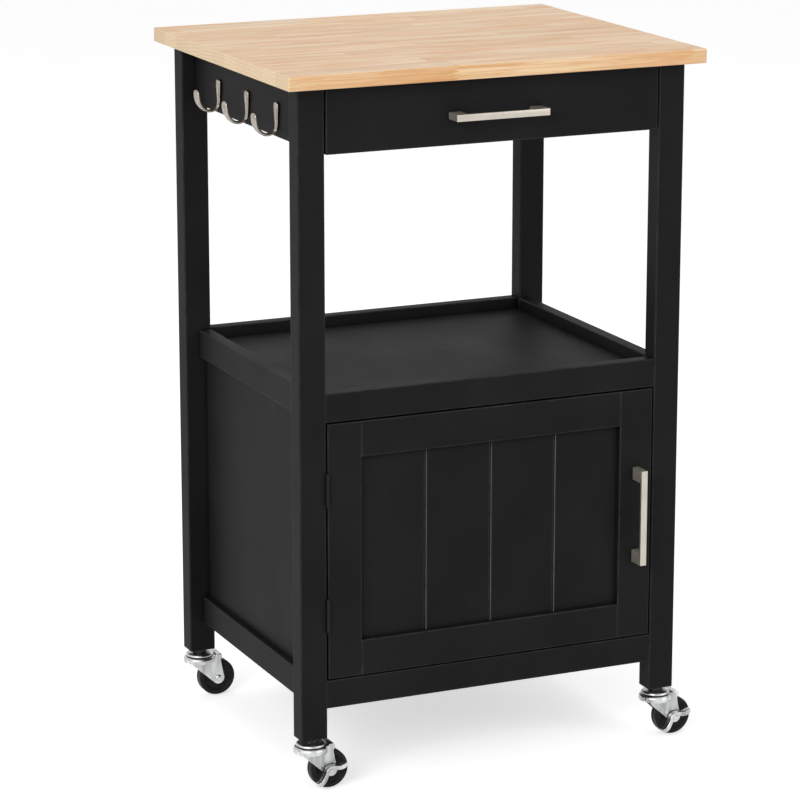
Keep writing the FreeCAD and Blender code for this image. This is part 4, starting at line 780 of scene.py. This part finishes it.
def pull(name, node, along, body, finish):
    """A square bar on two posts as one casting with softened edges."""
    low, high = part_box(node)
    size = (high - low) / MM
    depth, face = size.y, size[2 - along]
    end = size[along] / 2
    inner = end - PULL_POST
    outline = [(-end, 0), (end, 0), (end, depth), (inner, depth), (inner, PULL_BAR),
               (-inner, PULL_BAR), (-inner, depth), (-end, depth)]
    corners = [PULL_CORNER] * 2 + [0] * 2 + [PULL_INNER_CORNER] * 2 + [0] * 2
    middle = (low + high) / 2
    where = Matrix.Translation((middle.x, low.y, middle.z)) @ Matrix(LAID_ALONG[along])
    bm = bmesh.new()
    slab(bm, rounded(outline, corners), -face / 2, face / 2, PULL_RIM, where)
    piece(name, bm, finish, body, replaces=(node,))


class CART_OT_pulls(Operator):
    """Cast the drawer's and the door's pull handles"""
    bl_idname = "cart.pulls"
    bl_label = "Pull handles"

    def execute(self, context):
        pull("drawer_pull", "drawer_handle", 0, "drawer", "satin_nickel_x")
        pull("door_pull", "door_handle", 2, "door", "satin_nickel_z")
        return {"FINISHED"}


# Sections of a hook: out from the apron, up, width and thickness, as shares of its own sizes
HOOK_SHARES = (
    (0.05, 1.00, 0.45, 0.45),
    (0.06, 0.96, 0.85, 0.74),
    (0.065, 0.82, 0.92, 0.82),
    (0.06, 0.55, 0.72, 0.72),
    (0.06, 0.30, 0.54, 0.64),
    (0.12, 0.14, 0.50, 0.66),
    (0.30, 0.065, 0.52, 0.74),
    (0.52, 0.065, 0.62, 0.84),
    (0.74, 0.18, 0.82, 0.98),
    (0.88, 0.36, 1.02, 1.14),
    (0.92, 0.55, 1.16, 1.24),
    (0.925, 0.67, 1.04, 1.06),
    (0.92, 0.72, 0.60, 0.56),
)
HOOK_REACH, HOOK_HEIGHT, HOOK_WIDTH, HOOK_THICK = 33.5 * MM, 41 * MM, 13.2 * MM, 4.8 * MM
HOOK_ROW, HOOK_SPACING = -4 * MM, 96.5 * MM
# Height of the hooks' feet on the apron, their gap to it, and the point at each end
HOOK_FOOT, HOOK_SEAT, HOOK_TIP_SEAT, HOOK_TIP = 2 * MM, 0.05 * MM, 0.06 * MM, 0.35 * MM
HOOK_SIDES, HOOK_SQUARENESS = 28, 0.8


def squared(value):
    """A sine or cosine that fills out a round section towards a square one."""
    return math.copysign(abs(value) ** HOOK_SQUARENESS, value)


def hook(bm, corner, middle_y):
    """One cast hook on the apron's face, as sections along its line with a point at each end."""
    line = smooth_line(HOOK_SHARES, 6)
    spots = []
    for out, up, wide, deep in line:
        away = max(out * HOOK_REACH, deep * HOOK_THICK / 2 + HOOK_SEAT)
        spots.append(Vector((corner.x - away, middle_y, corner.z + HOOK_FOOT + up * HOOK_HEIGHT)))
    last = len(spots) - 1
    rings = []
    for index, (out, up, wide, deep) in enumerate(line):
        along = (spots[min(index + 1, last)] - spots[max(index - 1, 0)]).normalized()
        front = along.cross(Vector((0, 1, 0))) * (deep * HOOK_THICK / 2)
        side = Vector((0, wide * HOOK_WIDTH / 2, 0))
        ring = []
        for step in range(HOOK_SIDES):
            angle = 2 * math.pi * step / HOOK_SIDES
            spot = spots[index] + side * squared(math.cos(angle)) + front * squared(math.sin(angle))
            spot.x = min(spot.x, corner.x - HOOK_SEAT)
            ring.append(bm.verts.new(spot))
        rings.append(ring)
    for one, two in zip(rings, rings[1:]):
        bridge(bm, one, two)
    for ring, end, near in ((rings[0], spots[0], spots[1]), (rings[last], spots[last], spots[last - 1])):
        tip = sum((vert.co for vert in ring), Vector()) / len(ring)
        tip += (end - near).normalized() * HOOK_TIP
        tip.x = min(tip.x, corner.x - HOOK_TIP_SEAT)
        fan(bm, ring, bm.verts.new(tip))


class CART_OT_hooks(Operator):
    """Cast the three hooks on the left apron"""
    bl_idname = "cart.hooks"
    bl_label = "Hooks"

    def execute(self, context):
        bm = bmesh.new()
        for number in (-1, 0, 1):
            hook(bm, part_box("apron_left")[0], HOOK_ROW + number * HOOK_SPACING)
        piece("apron_hooks", bm, "antique_nickel", "cart_frame", replaces=("hooks",))
        return {"FINISHED"}


# Casters

# In millimetres, from the foot of the swivel axis; HUB, the wheel's middle, is in metres
WHEEL_RADIUS, WHEEL_WIDTH, TRAIL = 25, 17, 22.5
HUB = Vector((TRAIL, 0, WHEEL_RADIUS)) * MM
ARM_IN, ARM_OUT, ARM_RIM, ARM_END = 9.6, 11.8, 1.1, 8.5
CROWN_RADIUS, CROWN_FOOT, CROWN_TOP, CROWN_THICK = 21.5, 49, 57.5, 2.5
STEM_HOLE, AXLE_HOLE = 4.1, 3.05
# Where the arms' round end starts and stops, in degrees, and the steps between
ARM_ARC_START, ARM_ARC_STOP, ARM_ARC_STEPS = 222, 368, 18
# The arms' trailing edge and the shoulder above it
SHOULDER = [(27.6, 42), (26.2, 50), (28.3, 53.4), (28.3, 57.0), (26.6, 59.2), (22.2, 59.4),
            (20.2, 58.6), (19.4, 56.8)]
RACE = [(0, 52.2), (5.2, 52.2), (5.9, 52.9), (6, 54), (5.7, 54.7), (4, 54.7), (4, 57.9),
        (16.4, 57.9), (16.8, 58.2), (17.9, 58.0), (18.5, 58.5), (18.5, 59.6), (18.0, 60.5),
        (17.0, 61.1), (15.6, 61.4), (11.2, 61.5), (0, 61.5)]
COLLAR = [(0, 61.5), (9.0, 61.5), (9.4, 61.9), (9.5, 63.2), (8.9, 63.6), (8.9, 64.4), (9.5, 64.8),
          (9.5, 66.4), (9.1, 67), (4.95, 67), (4.95, 102), (3.95, 103), (0, 103)]
# A rib of the wheel's web, in radius and half width, then its depth, rim and number on a side
RIB = [(8.4, -0.8), (17.9, -0.6), (17.9, 0.6), (8.4, 0.8)]
RIB_DEPTH, RIB_RIM, RIBS = 1.9, 0.25, 5


def caster_place(name):
    """The foot of a caster's swivel axis, from the wheel's place."""
    low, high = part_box("caster_wheel_" + name)
    middle = (low + high) / 2
    return Vector((middle.x - HUB.x, middle.y, 0.0))


def fork_mesh():
    """A pressed fork: domed crown with a rolled rim, two arms and a rounded rear shoulder."""
    r, foot, top, thick = CROWN_RADIUS, CROWN_FOOT, CROWN_TOP, CROWN_THICK
    crown = bmesh.new()
    lathe(crown, [
        (STEM_HOLE, top - thick), (STEM_HOLE, top - 0.2), (STEM_HOLE + 0.4, top), (r - 6, top),
        (r - 5.3, top - 0.35), (r - 4.1, top - 0.6), (r - 2.3, top - 0.9), (r - 1.1, top - 1.6),
        (r - 0.3, top - 2.9), (r, top - 4.6), (r, foot + 0.9), (r - 0.3, foot + 0.2),
        (r - 0.9, foot), (r - 1.9, foot), (r - thick, foot + 0.7), (r - thick, top - 4.8),
        (r - thick - 1.2, top - thick - 0.5), (r - thick - 3, top - thick)], segments=72)
    outline = [(-14, top - 2.2), (-14, foot), (-10.5, foot - 5)]
    for step in range(ARM_ARC_STEPS + 1):
        angle = math.radians(ARM_ARC_START + step * (ARM_ARC_STOP - ARM_ARC_START) / ARM_ARC_STEPS)
        outline.append((TRAIL + ARM_END * math.cos(angle), WHEEL_RADIUS + ARM_END * math.sin(angle)))
    arms, gap, bore, pin = bmesh.new(), bmesh.new(), bmesh.new(), bmesh.new()
    slab(arms, outline + SHOULDER, -ARM_OUT, ARM_OUT, ARM_RIM)
    slab(gap, [(-20, -1), (60, -1), (60, top - thick), (-20, top - thick)], -ARM_IN, ARM_IN)
    lathe(bore, rod(AXLE_HOLE, -20, 20), Matrix.Translation(HUB) @ QUARTER_TURN, 32)
    lathe(pin, rod(STEM_HOLE, 40, 70), segments=72)
    return joined_by_boolean("caster_fork_pressed", crown, [
        ("UNION", arms), ("DIFFERENCE", gap), ("DIFFERENCE", bore), ("DIFFERENCE", pin)])


class CART_OT_forks(Operator):
    """Press the four caster forks"""
    bl_idname = "cart.forks"
    bl_label = "Caster forks"

    def execute(self, context):
        shape = fork_mesh()
        for name in CASTERS:
            mesh = shape.copy()
            mesh.transform(Matrix.Translation(caster_place(name)))
            piece_of("pressed_fork_" + name, mesh, "bright_zinc", "fork_" + name,
                     replaces=("caster_fork_" + name,))
        bpy.data.meshes.remove(shape)
        return {"FINISHED"}


class CART_OT_wheels(Operator):
    """Mould the four wheels with a hub, a sunk web with ribs and a crowned tread"""
    bl_idname = "cart.wheels"
    bl_label = "Wheels"

    def execute(self, context):
        half, r = WHEEL_WIDTH / 2, WHEEL_RADIUS
        near = [(3.06, half - 0.3), (3.4, half), (7.6, half), (8.1, half - 0.4), (8.8, half - 1.6),
                (9.6, half - 2), (16.6, half - 2), (17.6, half - 1.6), (18.3, half - 0.4),
                (18.9, half), (20.6, half), (20.9, half - 0.35), (21.4, half - 0.35), (21.7, half),
                (22.6, half - 0.1), (23.8, half - 0.75), (24.55, half - 1.8), (24.9, half - 3),
                (r, half - 4.6), (r, 0.25), (r - 0.12, 0)]
        far = [(radius, -along) for radius, along in reversed(near[:-1])]
        for name in CASTERS:
            where = Matrix.Translation(caster_place(name) + HUB) @ AXLE_TURN
            bm = bmesh.new()
            lathe(bm, near + far, where, 96)
            for low in (-half + 0.5, half - 2.4):
                for step in range(RIBS):
                    turn = Matrix.Rotation(math.radians(360 / RIBS * step + 18), 4, "Z")
                    slab(bm, RIB, -low - RIB_DEPTH, -low, RIB_RIM, where @ turn @ QUARTER_TURN)
            piece("moulded_wheel_" + name, bm, "moulded_wheel", "wheel_" + name,
                  replaces=("caster_wheel_" + name,))
        return {"FINISHED"}


class CART_OT_axles(Operator):
    """Rivet the axles, with domed heads"""
    bl_idname = "cart.axles"
    bl_label = "Axles"

    def execute(self, context):
        for name in CASTERS:
            low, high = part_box("caster_axle_" + name)
            middle = (low + high) / 2
            head = (high.x - low.x) / 2 / MM
            near, far = low.y / MM, high.y / MM
            dome = [(1.5, 0.12), (2.8, 0.6), (head - 0.35, 1.3), (head, 1.9), (head, 2.4), (3, 2.4)]
            profile = [(0, near)] + [(radius, near + depth) for radius, depth in dome]
            profile += [(radius, far - depth) for radius, depth in reversed(dome)] + [(0, far)]
            bm = bmesh.new()
            lathe(bm, profile, Matrix.Translation((middle.x, 0, middle.z)) @ AXLE_TURN, 48)
            piece("rivet_axle_" + name, bm, "bright_zinc", "fork_" + name,
                  replaces=("caster_axle_" + name,))
        return {"FINISHED"}


class CART_OT_stems(Operator):
    """Turn the races, collars and stems above the forks"""
    bl_idname = "cart.stems"
    bl_label = "Caster stems"

    def execute(self, context):
        race = bmesh.new()
        collar = bmesh.new()
        for name in CASTERS:
            where = Matrix.Translation(caster_place(name))
            lathe(race, RACE, where, 72)
            lathe(collar, COLLAR, where, 48)
        piece("caster_races", race, "bright_zinc", "cart_frame",
              replaces=("caster_stems",))
        piece("caster_collars", collar, "dark_collar", "cart_frame",
              replaces=("caster_stems",))
        return {"FINISHED"}


# Middle line of the lever's strip, from heel to toe, in millimetres from the axle
LEVER_LINE = ((-21.0, -14.5), (-15.1, -10.4), (-10.5, -2.9), (-8.0, 3.2), (-4.2, 6.3), (1.9, 7.0),
              (9.5, 6.3), (19.0, 9.5))
# Thickness, depth of the rims at the middle and at the pads, and the gap to the fork's arm
LEVER_THICK, LEVER_SHALLOW, LEVER_RIM, LEVER_GAP = 1.6, 1.9, 4.2, 0.4
# The toe's five grip ribs end at this share of the line
GRIP_RIBS, GRIP_END_SHARE, GRIP_HEIGHT = 5, 0.27, 0.32


def lever_mesh(width):
    """A pressed strip over the axle with turned-down rims, dished pads and a web round the axle."""
    line = smooth_line(LEVER_LINE, 14)
    count = len(line)
    bm = bmesh.new()
    top = LEVER_THICK / 2
    rings = []
    for index, spot in enumerate(line):
        along = (line[min(index + 1, count - 1)] - line[max(index - 1, 0)]).normalized()
        normal = Vector((-along.y, along.x))
        share = index / (count - 1)
        end = min(share, 1 - share)
        tip = max(0.0, 1 - end / 0.08)
        pad = 1.0 - math.exp(-((share - 0.52) / 0.2) ** 2)
        reach = width / MM * (1 - 0.36 * tip ** 2 - 0.1 * (1 - pad))
        turned_down = LEVER_SHALLOW + (LEVER_RIM - LEVER_SHALLOW) * pad * (1 - 0.55 * tip)
        dish = 0.2 * pad
        rib = 0.0
        if share < GRIP_END_SHARE:
            turns = 2 * math.pi * GRIP_RIBS * share / GRIP_END_SHARE
            rib = GRIP_HEIGHT * max(0.0, math.sin(turns))
        section = [(0.5, top - 0.15), (0.9, top + 0.25), (1.7, top + 0.25), (2.5, top - dish + rib),
                   (reach - 2.4, top - dish + rib), (reach - 1.7, top + 0.3), (reach - 0.8, top + 0.3),
                   (reach - 0.2, top - 0.1), (reach, top - 0.8), (reach, 0.4 - turned_down),
                   (reach - 0.4, -turned_down), (reach - 1.0, -turned_down),
                   (reach - 1.4, 0.4 - turned_down), (reach - 1.4, -top - dish),
                   (1.4, -top - dish), (0.5, -top)]
        ring = []
        for out, up in section:
            flat = (spot + normal * up) * MM
            ring.append(bm.verts.new((flat.x, -out * MM, flat.y)))
        rings.append(ring)
    for one, two in zip(rings, rings[1:]):
        bridge(bm, one, two)
    bm.faces.new(rings[0][::-1])
    bm.faces.new(rings[-1])
    web, bore = bmesh.new(), bmesh.new()
    lathe(web, [(0, 0), (7.2, 0), (7.5, 0.3), (7.5, 1.3), (7.2, LEVER_THICK), (5.2, LEVER_THICK),
                (0, LEVER_THICK)], QUARTER_TURN, 56)
    lathe(bore, rod(AXLE_HOLE, -2, 14), QUARTER_TURN, 40)
    return joined_by_boolean("brake_lever_pressed", bm, [("UNION", web), ("DIFFERENCE", bore)])


class CART_OT_brakes(Operator):
    """Press the brake levers of the two front casters"""
    bl_idname = "cart.brakes"
    bl_label = "Brake levers"

    def execute(self, context):
        shape = lever_mesh(context.scene.cart_metal.lever_width)
        for name in ("front_left", "front_right"):
            side = Vector((0, -(ARM_OUT + LEVER_GAP) * MM, 0))
            mesh = shape.copy()
            mesh.transform(Matrix.Translation(caster_place(name) + HUB + side))
            piece_of("pressed_lever_" + name, mesh, "bright_zinc", "brake_" + name,
                     replaces=("brake_lever_" + name,))
        bpy.data.meshes.remove(shape)
        return {"FINISHED"}


# Small fittings

# The strike plate: half its length and height, height over the catch's foot, corner, depth, rim
STRIKE_X, STRIKE_Z, STRIKE_RISE, STRIKE_CORNER = 14, 5, 6, 2
STRIKE_NEAR, STRIKE_FAR, STRIKE_RIM = 0.02, 0.7, 0.15


class CART_OT_fittings(Operator):
    """Finish the hinges, screws, cams and catch, and fix the catch's strike plate to the door"""
    bl_idname = "cart.fittings"
    bl_label = "Small fittings"

    def execute(self, context):
        dress(("hinge_frame_leaves", "hinge_door_leaves"), "black_hinge")
        dress(("frame_screws", "door_screws", "drawer_screws", "cam_fittings"), "bright_zinc")
        dress(("magnet_catch",), "black_plastic")
        low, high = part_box("magnet_catch")
        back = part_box("door_rail_top")[1].y
        middle = Vector(((low.x + high.x) / 2, back, low.z + STRIKE_RISE * MM))
        outline = rounded([(-STRIKE_X, -STRIKE_Z), (STRIKE_X, -STRIKE_Z), (STRIKE_X, STRIKE_Z),
                           (-STRIKE_X, STRIKE_Z)], STRIKE_CORNER)
        bm = bmesh.new()
        slab(bm, outline, STRIKE_NEAR, STRIKE_FAR, STRIKE_RIM, Matrix.Translation(middle))
        piece("strike_plate", bm, "bright_zinc", "door")
        return {"FINISHED"}


# Studio

# Half the floor's width, its level just under the wheels, and its glow in the picture
FLOOR_HALF, FLOOR_LEVEL, FLOOR_GLOW = 14.0, -0.0004, 0.6
# The world's strength as light on the cart, and as the background of the picture
WORLD_LIGHT, WORLD_SEEN = 0.44, 1.0
CLIP_END = 100.0
LIGHT_TARGET = (0, 0, 0.5)


def studio_floor():
    """A pale floor that keeps the cart's shadow, and glows only for the rays that show it."""
    bm = bmesh.new()
    half = FLOOR_HALF
    bm.faces.new([bm.verts.new((x, y, FLOOR_LEVEL)) for x, y in
                  ((-half, -half), (half, -half), (half, half), (-half, half))])
    mesh = bpy.data.meshes.new("studio_floor")
    bm.to_mesh(mesh)
    bm.free()
    floor = bpy.data.objects.new("studio_floor", mesh)
    bpy.context.scene.collection.objects.link(floor)
    mat = bpy.data.materials.new("white_floor")
    mat.use_nodes = True
    tree = mat.node_tree
    tree.nodes.clear()
    out = tree.nodes.new("ShaderNodeOutputMaterial")
    paper = tree.nodes.new("ShaderNodeBsdfDiffuse")
    point, ignored = place_of(tree)
    mottle = mapped(tree, noise(tree, point, 3.0), 0.3, 0.7, 0.80, 0.82)
    tree.links.new(combined(tree, mottle, mottle, mottle), paper.inputs["Color"])
    glow = tree.nodes.new("ShaderNodeEmission")
    tree.links.new(times(tree, seen_directly(tree), FLOOR_GLOW), glow.inputs["Strength"])
    both = tree.nodes.new("ShaderNodeAddShader")
    tree.links.new(paper.outputs[0], both.inputs[0])
    tree.links.new(glow.outputs[0], both.inputs[1])
    tree.links.new(both.outputs[0], out.inputs["Surface"])
    mesh.materials.append(mat)


def studio_world():
    """White all round, dimmer for the light that it throws on the cart."""
    world = bpy.data.worlds.new("white_studio")
    bpy.context.scene.world = world
    world.use_nodes = True
    tree = world.node_tree
    tree.nodes.clear()
    out = tree.nodes.new("ShaderNodeOutputWorld")
    back = tree.nodes.new("ShaderNodeBackground")
    back.inputs["Color"].default_value = (1.0, 1.0, 1.0, 1.0)
    strength = mapped(tree, seen_directly(tree), 0.0, 1.0, WORLD_LIGHT, WORLD_SEEN)
    tree.links.new(strength, back.inputs["Strength"])
    tree.links.new(back.outputs[0], out.inputs["Surface"])


def soft_light(name, place, size, power):
    """A rectangular light that faces the middle of the cart."""
    lamp = bpy.data.lights.new(name, "AREA")
    lamp.shape = "RECTANGLE"
    lamp.size, lamp.size_y = size
    lamp.energy = power
    thing = bpy.data.objects.new(name, lamp)
    bpy.context.scene.collection.objects.link(thing)
    thing.location = place
    thing.rotation_mode = "QUATERNION"
    thing.rotation_quaternion = (Vector(LIGHT_TARGET) - Vector(place)).to_track_quat("-Z", "Y")


CAMERA_PLACE = (-1.77402, -3.87765, 1.51121)
CAMERA_AZIMUTH, CAMERA_PITCH = -24.17, 14.24


class CART_OT_studio(Operator):
    """Lay the white floor and set the world, the lights and the camera"""
    bl_idname = "cart.studio"
    bl_label = "Studio"

    def execute(self, context):
        settings = context.scene.cart_studio
        studio_floor()
        studio_world()
        soft_light("key_light", (-3.3, -2.7, 2.5), (2.4, 2.0), settings.key_power)
        soft_light("fill_light", (2.6, -3.2, 1.8), (2.0, 2.0), settings.fill_power)
        soft_light("top_light", (0.3, 0.6, 3.4), (2.2, 2.2), settings.fill_power)
        data = bpy.data.cameras.new("photo_camera")
        data.sensor_width = 36.0
        data.lens = settings.lens
        data.clip_end = CLIP_END
        camera = bpy.data.objects.new("photo_camera", data)
        context.scene.collection.objects.link(camera)
        turn, pitch = math.radians(CAMERA_AZIMUTH), math.radians(CAMERA_PITCH)
        flat = Vector((math.sin(turn), -math.cos(turn), 0)) * math.cos(pitch)
        back = flat + Vector((0, 0, math.sin(pitch)))
        camera.location = CAMERA_PLACE
        camera.rotation_mode = "QUATERNION"
        camera.rotation_quaternion = (-back).to_track_quat("-Z", "Y")
        context.scene.camera = camera
        context.scene.view_settings.view_transform = "Standard"
        return {"FINISHED"}


# Panel and registration

STEPS = (CART_OT_worktop, CART_OT_painted_boards, CART_OT_bare_boards, CART_OT_pulls,
         CART_OT_hooks, CART_OT_forks, CART_OT_wheels, CART_OT_axles, CART_OT_stems,
         CART_OT_brakes, CART_OT_fittings, CART_OT_studio)
GROUPS = (("cart_worktop", CART_PG_worktop), ("cart_paint", CART_PG_paint),
          ("cart_metal", CART_PG_metal), ("cart_studio", CART_PG_studio))


class CART_PT_panel(Panel):
    """Settings and steps of the kitchen cart"""
    bl_idname = "CART_PT_panel"
    bl_label = "Kitchen Cart"
    bl_space_type = "VIEW_3D"
    bl_region_type = "UI"
    bl_category = "Kitchen Cart"

    def draw(self, context):
        for name, group in GROUPS:
            box = self.layout.box()
            for prop in group.__annotations__:
                box.prop(getattr(context.scene, name), prop)
        column = self.layout.column(align=True)
        for step in STEPS:
            column.operator(step.bl_idname)


def register():
    for name, group in GROUPS:
        bpy.utils.register_class(group)
        setattr(bpy.types.Scene, name, PointerProperty(type=group))
    for step in STEPS:
        bpy.utils.register_class(step)
    bpy.utils.register_class(CART_PT_panel)


def unregister():
    bpy.utils.unregister_class(CART_PT_panel)
    for step in reversed(STEPS):
        bpy.utils.unregister_class(step)
    for name, group in reversed(GROUPS):
        delattr(bpy.types.Scene, name)
        bpy.utils.unregister_class(group)


def main():
    register()
    for step in STEPS:
        area, name = step.bl_idname.split(".")
        getattr(getattr(bpy.ops, area), name)()
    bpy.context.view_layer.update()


if __name__ == "__main__":
    main()
